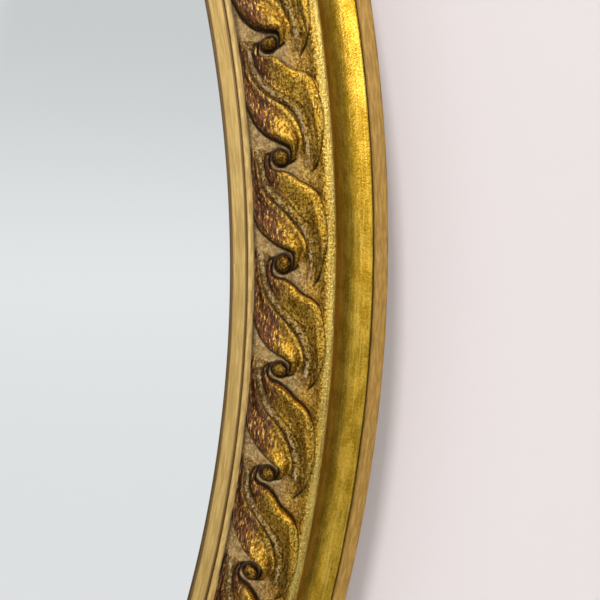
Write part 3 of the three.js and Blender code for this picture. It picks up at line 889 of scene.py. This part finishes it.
def mat_coat_and_step_shadow(finish, look, colours):
    streaky = finish.step(look.streaks, 0.35, 0.7)
    fillet = finish.mix(streaky, (0.52, 0.34, 0.10), (0.80, 0.55, 0.19))
    band = finish.mix(streaky, (0.36, 0.195, 0.034), (0.56, 0.32, 0.066))
    mat_gold = finish.mix(finish.step(look.across, 20.0, 21.0), fillet, band)
    share = look.mat_zone * (1 - look.nicks * 0.5) * (1 - look.shade_behind_slip * 0.7)
    colours = finish.mix(share, colours, mat_gold)
    # Painted shadow: a dark line in the small step between the arris of the hollow and the outer band.
    step_shadow = 1 - finish.step((look.across - (BAND_EDGE + 0.05)).size(), 0.1, 0.4)
    return finish.mix(step_shadow * 0.8, colours, (0.08, 0.035, 0.006))


def carved_gilding():
    finish = Finish(bpy.data.materials.new("gold leaf on carved wood"))
    look = Look(finish)
    colours = leaf_coat_and_ridge_highlight(finish, look)
    for coat in (clay_coat_and_side_shade, wash_wax_and_shade, mat_coat_and_step_shadow):
        colours = coat(finish, look, colours)
    dull = (look.clay * 0.45).above(look.crust * 0.75).above(look.mat_zone * 0.7)
    rough = 0.30 + look.mottle * 0.14 + dull * 0.28
    pitted = look.pits * (1 - look.mat_zone * 0.7) * (1 - look.hollow * 0.5)
    grainy = look.mottle * ((1 - look.mat_zone) * (1.3 - look.hollow * 0.9))
    normal = finish.bump(pitted + grainy + look.flecks * look.on_leaf, 0.22 * MM, 0.85)
    return finish.surface(Base_Color=colours, Metallic=1 - dull, Roughness=rough, Normal=normal)


carved_finish = carved_gilding()

# %% [markdown]
# ## Carving the ring
#
# All eight segments are made by one loop. A grid is easy to lay flat, so each also gets a map of itself on
# which its colours can later be baked: columns run along the map and rows run up it.

# %% Carve the eight segments


def lay_flat(mesh, rows, columns):
    """A flat map of a grid, used when its colours are baked."""
    corner = np.zeros(len(mesh.loops), int)
    mesh.loops.foreach_get("vertex_index", corner)
    uv = np.stack([corner % columns / (columns - 1), corner // columns / rows], axis=-1)
    mesh.uv_layers.new(name="OFBake").data.foreach_set("uv", uv.astype(np.float32).ravel())


for number in range(SEGMENTS):
    mesh, rows, columns = carved_mesh(number)
    lay_flat(mesh, rows, columns)
    node = f"carved_segment_{number + 1}"
    piece(f"carving_{number + 1}", mesh, carved_finish, "carved_gilding", node)
print("each carved segment has", len(mesh.polygons), "faces")

# %% [markdown]
# ## Turned pieces
#
# The slip, the glass, the plain ring at the back and the pads are all an outline turned round an axis.
# A Screw modifier does that too, but a grid of points also keeps the place of each point along and
# across the ring, which the grain of the wood and the strokes of the brush follow. Where an outline reaches
# the axis, its points fall together and are welded into one.

# %% Turn an outline


def turned_mesh(name, outline, start, end, steps):
    """A length of a turned ring between two angles in degrees, or the whole of it. The outline is closed."""
    whole = end - start >= 360
    angle = np.radians(np.linspace(start, end, steps, endpoint=not whole))[None, :]
    radius = np.array([radius for radius, _ in outline])[:, None] + 0 * angle
    height = np.array([height for _, height in outline])[:, None] + 0 * angle
    points = np.stack([radius * np.cos(angle), -height, radius * np.sin(angle)], axis=-1)
    rows, columns = points.shape[:2]
    faces = grid_faces(rows, columns, wrap_rows=True, wrap_columns=whole)
    caps = [] if whole else end_caps(rows, columns)
    mesh = body_mesh(name, points.reshape(-1, 3).tolist(), faces + caps, len(caps))
    keep_place(mesh, angle, from_pearls(radius), height)
    return mesh


def close_poles(mesh):
    """Welds the rings of points that have shrunk to one point on the axis."""
    work = bmesh.new()
    work.from_mesh(mesh)
    bmesh.ops.remove_doubles(work, verts=work.verts, dist=1e-7)
    bmesh.ops.delete(work, geom=[edge for edge in work.edges if edge.is_wire], context="EDGES")
    open_edges = sum(not edge.is_manifold for edge in work.edges)
    work.to_mesh(mesh)
    work.free()
    print(mesh.name, "has", open_edges, "open edges")


# %% [markdown]
# ## Mat gilding on the sight slip
#
# The slip is the narrow pale band between the glass and the carving. It is oil gilded and toned, so it
# shines far less than the burnished ring. Long scratches and small dark nicks run with the wood, and dark
# lines are painted beside the glass and beside the carved ring: painted shade in the narrow gaps there,
# with some toning.

# %% The slip's finish


def mat_gilding():
    finish = Finish(bpy.data.materials.new("mat gilding"))
    place = finish.attribute("place", "Vector")
    across = finish.one_axis(place, "Y")
    streaks = finish.noise(finish.stretch(place, 0.1, 2.2, 1.0), 1.0, 4.0, 0.6)
    cloud = finish.noise(finish.stretch(place, 0.08, 0.4, 0.4), 1.0, 3.0, 0.6)
    grain = finish.noise(place, 2.6, 3.0, 0.7)
    colours = finish.mix(finish.step(streaks, 0.35, 0.65), (0.54, 0.35, 0.095), (0.78, 0.53, 0.18))
    colours = finish.mix(finish.step(cloud, 0.4, 0.65) * 0.45, colours, (0.46, 0.28, 0.07))
    nicks = finish.step(grain, 0.68, 0.78)
    worn = finish.step(streaks, 0.62, 0.74)
    colours = finish.mix((nicks * 0.7).above(worn * 0.5), colours, (0.10, 0.045, 0.012))
    # Painted shade, with some toning: dark lines in the narrow gaps beside the glass and beside the carved
    # ring.
    shade_by_glass = 1 - finish.step(across, -14.85, -14.35)
    shade_by_carving = finish.step(across, LIP_EDGE - 1.1, LIP_EDGE - 0.6)
    colours = finish.mix(shade_by_glass.above(shade_by_carving) * 0.85, colours, (0.12, 0.06, 0.014))
    normal = finish.bump(streaks + grain * 0.5, 0.12 * MM, 0.6)
    rough = 0.42 + streaks * 0.15
    return finish.surface(Base_Color=colours, Metallic=0.45, Roughness=rough, Normal=normal)


mat_finish = mat_gilding()

# %% [markdown]
# ## How much the glass bulges
#
# The slip lies on the glass, so the curve of the glass comes first. Its front is a cap cut from a ball. The
# radius of the ball follows from how wide the cap is and how far it rises, and both are measured on the solid
# model.

# %% The curve of the glass
glass_corners = [vertex.co for vertex in frame["nodes"]["mirror_glass"].data.vertices]
rim_heights = [-place.y for place in glass_corners if math.hypot(place.x, place.z) > 0.999 * GLASS_EDGE]
dome_rise = GLASS_TOP - max(rim_heights)
dome_radius = (GLASS_EDGE**2 + dome_rise**2) / (2 * dome_rise)
print(f"the glass rises {dome_rise / MM:.1f} mm to its middle: a ball of {dome_radius:.3f} m radius")


def glass_front(radius):
    return GLASS_TOP - dome_radius + math.sqrt(dome_radius**2 - radius**2)


# %% [markdown]
# ## The sight slip
#
# The outline starts a hair above the glass, climbs to a small rounded edge, slopes outwards in two steps and
# tucks in behind the lip of the carved ring. The slip could be one ring, but a joiner cuts it in lengths and
# the solid model has four, so a loop turns four quarters.

# %% Four lengths of the slip
SLACK = 0.3 * MM  # between pieces that meet
SLIP_LENGTHS = 4
slip_top = JOINT - SLACK
slip_inner = slip_top + 0.6 * MM
slip_outer = slip_inner + 2.2 * MM
slip_lip = LIP - 0.05 * MM
slip_outline = [
    (SIGHT, glass_front(SIGHT) + SLACK),
    (SIGHT, slip_inner - 0.7 * MM),
    *round_corner(SIGHT, slip_inner, ((0, -1), (1, 0.3)), 0.6 * MM),
    (SIGHT + 2.2 * MM, slip_inner + 0.9 * MM),
    (SIGHT + 3.6 * MM, slip_outer - 0.45 * MM),
    *round_corner(slip_lip, slip_outer, ((-1, -0.2), (0, -1)), 0.5 * MM),
    (slip_lip, slip_top),
    (SLIP_OUTER, slip_top),
    (SLIP_OUTER, glass_front(SLIP_OUTER) + SLACK),
]
quarter = 360 / SLIP_LENGTHS
for number in range(SLIP_LENGTHS):
    mesh = turned_mesh(f"slip {number + 1}", slip_outline, quarter * number, quarter * (number + 1), 361)
    piece(f"slip_{number + 1}", mesh, mat_finish, "mat_gilding", f"sight_slip_{number + 1}")
print(f"the slip shows {(slip_lip - SIGHT) / MM:.1f} mm of its width")

# %% [markdown]
# ## The glass
#
# The glass is a shallow cap cut from a large blown ball and silvered on its hollow side. The silver lies
# behind clear glass, so it shows as a slightly grey, very smooth mirror. An old plate has a faint haze and
# a few tiny specks where the silver has let go. Clear glass over a separate silver skin would be truer, but
# from in front it looks the same and takes far longer to render.

# %% The silvered glass


def silvered_glass():
    finish = Finish(bpy.data.materials.new("silvered glass"))
    place = finish.coordinates()
    haze = finish.noise(place, 3.0, 4.0, 0.55)
    specks = finish.step(finish.noise(place, 700.0, 2.0, 0.5), 0.80, 0.84)
    silver = finish.mix(haze, (0.88, 0.86, 0.85), (0.92, 0.895, 0.885))
    colours = finish.mix(specks * 0.6, silver, (0.25, 0.24, 0.22))
    rough = finish.step(haze, 0.3, 0.8) * 0.02 + 0.02 + specks * 0.3
    return finish.surface(Base_Color=colours, Metallic=1.0, Roughness=rough)


GLASS_THICK = 3.0 * MM
GLASS_RINGS = 60
hollow_radius = dome_radius - GLASS_THICK
front_radii = GLASS_EDGE * np.linspace(1, 0, GLASS_RINGS)
ball_middle = GLASS_TOP - dome_radius
front = [(radius, glass_front(radius)) for radius in front_radii]
back = [(radius, ball_middle + math.sqrt(hollow_radius**2 - radius**2)) for radius in front_radii[::-1]]
rim = [(GLASS_EDGE, back[-1][1]), (GLASS_EDGE, 0.5 * (back[-1][1] + front[0][1]))]
glass_mesh = turned_mesh("glass", front + back[:-1] + rim, 0, 360, 360)
close_poles(glass_mesh)
piece("glass", glass_mesh, silvered_glass(), "silvered_glass", "mirror_glass")

# %% [markdown]
# ## Bare wood at the back
#
# Nobody looks at the back of a frame, so it was left as sawn pine: long grain, a few darker late-wood lines,
# dust and brown toning. The year rings are slices through one slow noise, counted like contour lines, and the
# fibres a second, much finer one. Both are drawn out along the wood. Each plank starts at another place in
# the noise, so that no two have the same grain.

# %% Pine


def pine(name, light, dark, direction, start=0.0):
    """Bare pine whose grain runs up the object, or round the ring. Each plank has its own start in metres."""
    finish = Finish(bpy.data.materials.new(name))
    if direction == "ring":
        place = finish.attribute("place", "Vector")
        drawn = finish.stretch(place, 0.005, 0.12, 0.12)
        fine = finish.stretch(place, 0.06, 1.2, 1.2)
        dust = finish.noise(place, 0.02, 4.0, 0.6)
    else:
        place = finish.vector_sum("ADD", finish.coordinates(), (start, start, start))
        drawn = finish.stretch(place, 26.0, 26.0, 2.2)
        fine = finish.stretch(place, 500.0, 500.0, 22.0)
        dust = finish.noise(place, 14.0, 4.0, 0.6)
    year_rings = (finish.noise(drawn, 1.0, 2.0, 0.5) * 9.0).remainder()
    late = finish.step(year_rings, 0.35, 0.95)
    fibres = finish.noise(fine, 1.0, 4.0, 0.65)
    colours = finish.mix(late * 0.6, light, dark)
    colours = finish.mix(finish.step(fibres, 0.45, 0.75) * 0.45, colours, dark)
    colours = finish.mix(finish.step(dust, 0.45, 0.75) * 0.4, colours, (0.16, 0.10, 0.055))
    normal = finish.bump(fibres + late * 0.4, 0.25 * MM, 0.6)
    return finish.surface(Base_Color=colours, Roughness=0.72 + fibres * 0.2, Normal=normal)


ring_wood = pine("bare pine round the ring", (0.46, 0.30, 0.155), (0.29, 0.165, 0.075), "ring")
block_wood = pine("bare pine blocks", (0.50, 0.34, 0.18), (0.32, 0.19, 0.09), "up")
board_woods = {
    "left": pine("pine left board", (0.37, 0.22, 0.105), (0.21, 0.115, 0.052), "up", 1.3),
    "middle": pine("pine middle board", (0.46, 0.295, 0.145), (0.28, 0.155, 0.07), "up", 2.9),
    "right": pine("pine right board", (0.41, 0.25, 0.115), (0.24, 0.13, 0.058), "up", 4.2),
}

# %% [markdown]
# ## The plain ring at the back
#
# Behind the carved ring lies a plain one, glued up from eight lengths with its joints halfway between those
# in front, which makes both strong. A rebate on its inner side holds the boards, and its outer edge is cut
# back so that it doesn't show past the gilding.

# %% Eight lengths of the back ring
REBATE = 12.0 * MM  # width of the step that the boards lie on
CUT_BACK = 3.2 * MM  # how far the outer edge slopes in towards the wall
EASED = 0.5 * MM
LENGTH_ANGLE = 360 / SEGMENTS
SAW_GAP = 0.02  # degrees left open at each end of a length

ledge = BACK_INNER + REBATE
back_face = BACK_OUTER - CUT_BACK
back_outline = [
    (BACK_INNER, BOARD_TOP),
    (ledge, BOARD_TOP),
    (ledge, EASED),
    (ledge + EASED, 0),
    (back_face - 1.2 * MM, 0),
    (back_face - 0.35 * MM, 0.3 * MM),
    (back_face, 1.2 * MM),
    (BACK_OUTER, BACK_TOP),
    (BACK_INNER, BACK_TOP),
]
for number in range(SEGMENTS):
    start = LENGTH_ANGLE * number + SAW_GAP
    end = LENGTH_ANGLE * (number + 1) - SAW_GAP
    mesh = turned_mesh(f"back {number + 1}", back_outline, start, end, 120)
    mesh.polygons.foreach_set("use_smooth", np.zeros(len(mesh.polygons), bool))
    piece(f"back_ring_{number + 1}", mesh, ring_wood, "bare_wood", f"back_segment_{number + 1}")
print(f"the back ring's flat face is {(back_face - ledge) / MM:.1f} mm wide")

# %% [markdown]
# ## Blocks and boards
#
# Small blocks are glued in behind the rim of the glass, and three thin boards close the back. The solid model
# has their true shape already, so they are kept and not drawn again. A bevel takes off the sharp edges that
# no real piece of wood has, and each board gets wood of its own.

# %% Finish the blocks and boards
BLOCKS = 8


def dress(node, material, bevel):
    """Keeps a node of the solid model as it is, eases its edges and gives it a finish."""
    thing = frame["nodes"][node]
    thing.data.materials.clear()
    thing.data.materials.append(material)
    edge = thing.modifiers.new("eased edges", "BEVEL")
    edge.width = bevel
    edge.segments = 2
    edge.limit_method = "ANGLE"
    edge.angle_limit = math.radians(35)


for number in range(BLOCKS):
    dress(f"glazing_block_{number + 1}", block_wood, 0.4 * MM)
for side, wood in board_woods.items():
    dress(f"back_board_{side}", wood, 1.2 * MM)
print("boards:", *board_woods)

# %% [markdown]
# ## Brass
#
# The turn buttons, straps, rings and screws are plain brass, browned by age and bright only where they are
# handled. Patches of tarnish come from one noise, and fine grime from another. The tarnished patches are
# rougher as well as darker, which is what makes them look like brown brass and not like paint. The screws
# keep the solid model's shape.

# %% The brass and the screws


def old_brass():
    finish = Finish(bpy.data.materials.new("old brass"))
    place = finish.coordinates()
    cloud = finish.noise(place, 90.0, 4.0, 0.6)
    grain = finish.noise(place, 900.0, 3.0, 0.6)
    tarnish = finish.step(cloud, 0.38, 0.66)
    colours = finish.mix(tarnish, (0.62, 0.41, 0.14), (0.27, 0.16, 0.06))
    colours = finish.mix(finish.step(grain, 0.5, 0.75) * 0.4, colours, (0.16, 0.09, 0.035))
    normal = finish.bump(grain, 0.08 * MM, 0.5)
    rough = 0.26 + tarnish * 0.22 + grain * 0.1
    return finish.surface(Base_Color=colours, Metallic=1.0, Roughness=rough, Normal=normal)


BUTTON_ANGLES = (20, -20, 80, -100, 160, 200)  # anticlockwise from 3 o'clock as seen from the front
brass = old_brass()
for number in range(len(BUTTON_ANGLES)):
    dress(f"button_screw_{number + 1}", brass, 0.15 * MM)
for side in ("right", "left"):
    for number in (1, 2):
        dress(f"hanger_screw_{side}_{number}", brass, 0.15 * MM)

# %% [markdown]
# ## Cutting brass from sheet and wire
#
# Sheet brass is sawn to an outline and its edges are filed round. Curve objects do the same: an outline
# becomes a plate with a thickness and a rounded edge, and a line becomes a wire. Both are turned into meshes
# at once. Everything is drawn flat, as on a bench, and then moved to its place on the ring.

# %% Plates, wires and the bench
FIXING = (ledge + back_face) / 2
print(f"buttons, straps and pads stand {FIXING:.5f} m from the axis")


def arc(x, y, radius, start, end, steps):
    """Points of an arc, with angles in degrees."""
    angles = np.radians(np.linspace(start, end, steps))
    return [(x + radius * math.cos(angle), y + radius * math.sin(angle)) for angle in angles]


def closed_curve(name, outlines, dimensions):
    """A curve object's data with one closed line of straight steps for each outline."""
    curve = bpy.data.curves.new(name, "CURVE")
    curve.dimensions = dimensions
    for outline in outlines:
        spline = curve.splines.new("POLY")
        spline.points.add(len(outline) - 1)
        for point, (x, y) in zip(spline.points, outline):
            point.co = (x, y, 0, 1)
        spline.use_cyclic_u = True
    return curve


def mesh_of(curve):
    holder = bpy.data.objects.new(curve.name, curve)
    mesh = bpy.data.meshes.new_from_object(holder)
    bpy.data.objects.remove(holder)
    return mesh


def plate_mesh(name, outlines, low, high, rounding):
    """A plate between two heights with rounded edges. The first outline is its edge, the others its holes."""
    curve = closed_curve(name, outlines, "2D")
    curve.fill_mode = "BOTH"
    curve.extrude = (high - low) / 2 - rounding
    curve.bevel_depth = rounding
    curve.bevel_resolution = 2
    curve.offset = -rounding
    mesh = mesh_of(curve)
    mesh.transform(Matrix.Translation((0, 0, (low + high) / 2)))
    return mesh


def wire_mesh(name, points, radius):
    """A closed loop of round wire."""
    curve = closed_curve(name, [points], "3D")
    curve.bevel_depth = radius
    curve.bevel_resolution = 6
    mesh = mesh_of(curve)
    mesh.polygons.foreach_set("use_smooth", np.ones(len(mesh.polygons), bool))
    return mesh


def bench(angle, lean):
    """Moves a mesh drawn flat on the bench, back face down, to its place on the ring, turned by lean."""
    spot = (FIXING * math.cos(math.radians(angle)), FIXING * math.sin(math.radians(angle)), 0)
    to_wall = Matrix(((1, 0, 0, 0), (0, 0, -1, 0), (0, 1, 0, 0), (0, 0, 0, 1)))
    return to_wall @ Matrix.Translation(spot) @ Matrix.Rotation(math.radians(lean), 4, "Z")


# %% [markdown]
# ## Turn buttons
#
# A turn button is a small tongue of brass with a screw through its round end. Turned inwards it holds a
# board, and turned along the ring it lets the board out. Each one rides on its own body, because it turns on
# its own screw.

# %% Six turn buttons
PLAY = 0.15 * MM  # between the brass and the wood
BUTTON_THICK = 1.3 * MM
BUTTON_END = 5.5 * MM
BUTTON_TIP = 4.0 * MM
BUTTON_REACH = 19 * MM  # from the screw to the middle of the tip's round
BUTTON_BORE = 1.9 * MM

button_outline = [*arc(0, 0, BUTTON_END, 90, 270, 20), *arc(BUTTON_REACH, 0, BUTTON_TIP, -90, 90, 16)]
button_hole = arc(0, 0, BUTTON_BORE, 360, 15, 24)
for number, angle in enumerate(BUTTON_ANGLES):
    name = f"turn_button_{number + 1}"
    mesh = plate_mesh(name, [button_outline, button_hole], -PLAY - BUTTON_THICK, -PLAY, 0.3 * MM)
    mesh.transform(bench(angle, angle + 180))
    piece(f"button_{number + 1}", mesh, brass, "brass", name, body=name)
print("each button has", len(mesh.polygons), "faces")

# %% [markdown]
# ## Hangers
#
# A hanger is a strap of sheet brass whose end is rolled into a knuckle, with a ring of wire in it shaped like
# a letter D. The strap is drawn from its side, with the roll as part of its outline, because the thickness of
# the sheet shows there. The ring is drawn as it lies, and turns on a straight pin in the knuckle. How far the
# pin lies behind the frame is read from the joint, so that the ring turns round its own pin.

# %% Two straps with their rings
STRAP_LENGTH = 42 * MM
STRAP_WIDTH = 11 * MM
STRAP_THICK = 1.2 * MM
PIN = 1.5 * MM
PIN_BORE = 1.87 * MM
RING_SIDE = 9.5 * MM
RING_STRAIGHT = 7.5 * MM  # from the pin to where the bow starts
RING_CORNER = 1.6 * MM

hinge_joint = next(joint for joint in frame["joints"] if joint["name"] == "ring_swing_right")
HINGE_DROP = hinge_joint["pos_m"][1]
KNUCKLE = HINGE_DROP - SLACK
print(f"the pin lies {HINGE_DROP / MM:.4f} mm behind the frame, in a knuckle of {KNUCKLE / MM:.4f} mm radius")

strap_face = -PLAY - STRAP_THICK
roll_start = 180 - math.degrees(math.asin((strap_face + HINGE_DROP) / KNUCKLE))
strap_outline = [
    (-STRAP_LENGTH, -PLAY),
    (-STRAP_LENGTH, strap_face),
    *arc(0, -HINGE_DROP, KNUCKLE, roll_start, 450, 36),
    (0, -PLAY),
]
strap_bore = arc(0, -HINGE_DROP, PIN_BORE, 360, 10, 30)
ring_path = [
    *arc(0, -RING_STRAIGHT, RING_SIDE, 180, 360, 30),
    *arc(RING_SIDE - RING_CORNER, -RING_CORNER, RING_CORNER, 0, 90, 6),
    *arc(-RING_SIDE + RING_CORNER, -RING_CORNER, RING_CORNER, 90, 180, 6),
]
stand = Matrix(((0, 0, 1, 0), (1, 0, 0, 0), (0, 1, 0, 0), (0, 0, 0, 1)))
for side, angle, lean in (("right", 34, 34), ("left", 146, -34)):
    place = bench(angle, lean) @ Matrix.Translation((0, STRAP_LENGTH / 2, 0))
    half_width = STRAP_WIDTH / 2
    strap = plate_mesh(f"strap {side}", [strap_outline, strap_bore], -half_width, half_width, 0.2 * MM)
    strap.transform(place @ stand)
    piece(f"strap_{side}", strap, brass, "brass", f"hanger_strap_{side}")
    ring = wire_mesh(f"ring {side}", ring_path, PIN)
    ring.transform(place @ Matrix.Translation((0, 0, -HINGE_DROP)))
    name = f"hanger_ring_{side}"
    piece(f"ring_{side}", ring, brass, "brass", name, body=name)

# %% [markdown]
# ## Felt pads
#
# Two round pads keep the lower edge off the wall. Pressed felt is cut with a punch, so its edge bulges a
# little between two flattened faces. The felt is dark and very rough, with a little sheen from its fibres.

# %% The pads


def grey_felt():
    finish = Finish(bpy.data.materials.new("felt"))
    place = finish.coordinates()
    fibres = finish.noise(finish.stretch(place, 1.0, 3.0, 1.0), 1400.0, 5.0, 0.75)
    tufts = finish.noise(place, 320.0, 3.0, 0.6)
    colours = finish.mix(fibres, (0.035, 0.027, 0.022), (0.13, 0.105, 0.09))
    normal = finish.bump(fibres + tufts, 0.5 * MM, 0.9)
    rough = 0.85 + tufts * 0.1
    return finish.surface(Base_Color=colours, Roughness=rough, Sheen_Weight=0.3, Normal=normal)


PAD = 5.6 * MM
PAD_HIGH = 7.4 * MM
felt = grey_felt()
pad_side = [
    (PAD * (0.93 + 0.06 * math.sin(math.pi * share) ** 0.5), -PAD_HIGH * (0.02 + 0.96 * share))
    for share in np.linspace(0, 1, 9)
]
pad_outline = [(0, 0), (0.85 * PAD, 0), *pad_side, (0.85 * PAD, -PAD_HIGH), (0, -PAD_HIGH)]
for side, angle in (("right", -60), ("left", 240)):
    mesh = turned_mesh(f"pad {side}", pad_outline, 0, 360, 48)
    close_poles(mesh)
    mesh.transform(Matrix.Translation(bench(angle, 0).translation))
    piece(f"pad_{side}", mesh, felt, "felt", f"wall_pad_{side}")

# %% [markdown]
# ## Wall and floor
#
# The wall is a pale plane just behind the pads, and the floor lies a metre below. A real wall would hide the
# back of the mirror and keep all light from it. So the paint shows only from the front, and behind the
# mirror, where nobody sees it, the wall lets light through. The floor is left out of reflections, because its
# far edge would draw a line across the glass.

# %% Wall and floor
PAPER = (0.835, 0.78, 0.77)
WALL = 7.5 * MM
FLOOR = -1.05
ROOM = 6  # half the width of wall and floor, in metres
OVERLAP = 4 * MM  # how far the mirror's edge reaches past the open part of the wall


def stage_object(name, points, material):
    """A flat piece of the room, which isn't part of the mirror."""
    mesh = bpy.data.meshes.new(name)
    mesh.from_pydata(points, [], [range(len(points))])
    mesh.materials.append(material)
    thing = bpy.data.objects.new(name, mesh)
    bpy.context.scene.collection.objects.link(thing)
    return thing


def plaster():
    """Paint that only shows from the front. Behind the mirror it lets every ray pass but the camera's."""
    finish = Finish(bpy.data.materials.new("pale wall"))
    from_axis = finish.vector_sum("LENGTH", finish.coordinates(), (0, 0, 0), "Value")
    behind_mirror = from_axis.less_than(OUTER - OVERLAP)
    paint = finish.node("ShaderNodeBsdfDiffuse", {}, {"Color": colour(PAPER)})
    clear = finish.node("ShaderNodeBsdfTransparent")
    from_behind = finish.node("ShaderNodeNewGeometry", {}, {}, "Backfacing")
    seen = finish.node("ShaderNodeLightPath", {}, {}, "Is Camera Ray")
    share = from_behind * seen + behind_mirror * (1 - seen)
    both = finish.node("ShaderNodeMixShader", {}, {0: share, 1: paint, 2: clear})
    finish.node("ShaderNodeOutputMaterial", {}, {"Surface": both})
    return finish.owner


def pale_floor():
    finish = Finish(bpy.data.materials.new("pale floor"))
    return finish.surface(Base_Color=colour(PAPER), Roughness=0.9)


wall_points = [(-ROOM, WALL, -ROOM), (ROOM, WALL, -ROOM), (ROOM, WALL, ROOM), (-ROOM, WALL, ROOM)]
floor_points = [(-ROOM, -ROOM, FLOOR), (ROOM, -ROOM, FLOOR), (ROOM, ROOM, FLOOR), (-ROOM, ROOM, FLOOR)]
stage_object("wall", wall_points, plaster())
floor = stage_object("floor", floor_points, pale_floor())
floor.visible_glossy = False

# %% [markdown]
# ## The camera
#
# The camera stands close to the wall, level with 3 o'clock on the ring, with a fairly short lens, and is
# tilted a few degrees down and to one side. That is why the even pearls look a little uneven in the picture.
# A long lens from straight in front would hide this, and the ring's outer edge would miss its place.

# %% The camera
CAMERA_PLACE = (0.4190, -0.1864, 0.0016)
TILT, TURN, ROLL = -4.03, -2.0, -0.34  # degrees

camera = bpy.data.objects.new("camera", bpy.data.cameras.new("camera"))
camera.data.lens = 35
camera.data.sensor_width = 36
camera.data.clip_start = 0.01
camera.location = CAMERA_PLACE
level_camera = Matrix.Rotation(math.pi / 2, 4, "X")
turned = Matrix.Rotation(math.radians(TURN), 4, "Z")
tilted = Matrix.Rotation(math.radians(TILT), 4, "X")
rolled = Matrix.Rotation(math.radians(ROLL), 4, "Y")
camera.rotation_euler = (turned @ tilted @ rolled @ level_camera).to_euler()
bpy.context.scene.collection.objects.link(camera)
bpy.context.scene.camera = camera
print(f"the camera stands {-CAMERA_PLACE[1] / MM:.0f} mm in front of the frame's back")

# %% [markdown]
# ## Lamps
#
# One soft lamp high on the left models the carving and throws the mirror's shadow to the right on the wall.
# A second one lights the back, for views from behind. Directions are given as seen from the mirror, which is
# how the light on a real frame is judged.

# %% Lamps


def towards(azimuth, elevation):
    """A direction seen from the mirror, in degrees to the right of straight in front, and upwards."""
    side, up = math.radians(azimuth), math.radians(elevation)
    return Vector((math.sin(side) * math.cos(up), -math.cos(side) * math.cos(up), math.sin(up)))


def lamp(name, direction, distance, size, power, target):
    """A square soft lamp that shines on a target from a direction."""
    data = bpy.data.lights.new(name, "AREA")
    data.energy = power
    data.size = size
    thing = bpy.data.objects.new(name, data)
    thing.location = Vector(target) + distance * direction
    thing.rotation_euler = (-direction).to_track_quat("-Z", "Y").to_euler()
    bpy.context.scene.collection.objects.link(thing)
    print(name, "stands at", [round(value, 2) for value in thing.location])
    return thing


key = lamp("key", towards(-18, 34), 2.6, 0.36, 32, (0.42, 0, 0))
key.data.color = (1.0, 0.955, 0.955)
lamp("from behind", towards(160, 30), 2.6, 1.2, 30, (0.3, 0, 0))

# %% [markdown]
# ## What the glass reflects
#
# A mirror is as bright as what stands opposite it, so the room is painted on the world: a dim grey all round,
# a broad bright window on the left, a tall paler doorway almost straight opposite, a glow from above, and a
# little light behind. All of them have soft edges, because the photograph's reflection has no sharp ones. A
# modelled room would do the same with more work.

# %% The room that the glass reflects
world = bpy.data.worlds.new("room")
bpy.context.scene.world = world
room = Finish(world)
direction = room.coordinates("Generated")
up = room.one_axis(direction, "Z")


def facing(azimuth, elevation=0):
    """1 where a ray goes straight to the given direction, and less the further it points away."""
    return room.vector_sum("DOT_PRODUCT", direction, towards(azimuth, elevation), "Value")


def glow(azimuth, elevation, tightness):
    """A soft patch of light round one direction, 1 in its middle."""
    return facing(azimuth, elevation).above(0.0) ** tightness


def doorway(azimuth, half_width, fade):
    """A tall pale strip in front of the mirror. Widths are sines of angles from its middle."""
    sideways = facing(azimuth + 90).size()
    in_strip = 1 - room.step(sideways, half_width, half_width + fade)
    return in_strip * room.step(facing(azimuth), 0.0, 0.3)


window = doorway(-38, 0.38, 0.14) * room.step(up, -0.2, 0.1) * (0.95 - room.step(up, 0.1, 0.4) * 0.4)
door = doorway(6, 0.2, 0.12) * (0.69 - room.step(up, -0.1, 0.5) * 0.35)
level = 0.18 + window + door + glow(10, 60, 2.0) * 0.25 + glow(180, 20, 1.0) * 0.45
tinted = room.mix(glow(0, 90, 1.0), (0.93, 0.98, 1.0), (0.91, 0.97, 1.0))
light = room.node("ShaderNodeBackground", {}, {"Color": tinted, "Strength": level})
room.node("ShaderNodeOutputWorld", {}, {"Surface": light})
bpy.context.scene.view_settings.view_transform = "Standard"
print("the room has", len(room.tree.nodes), "nodes")
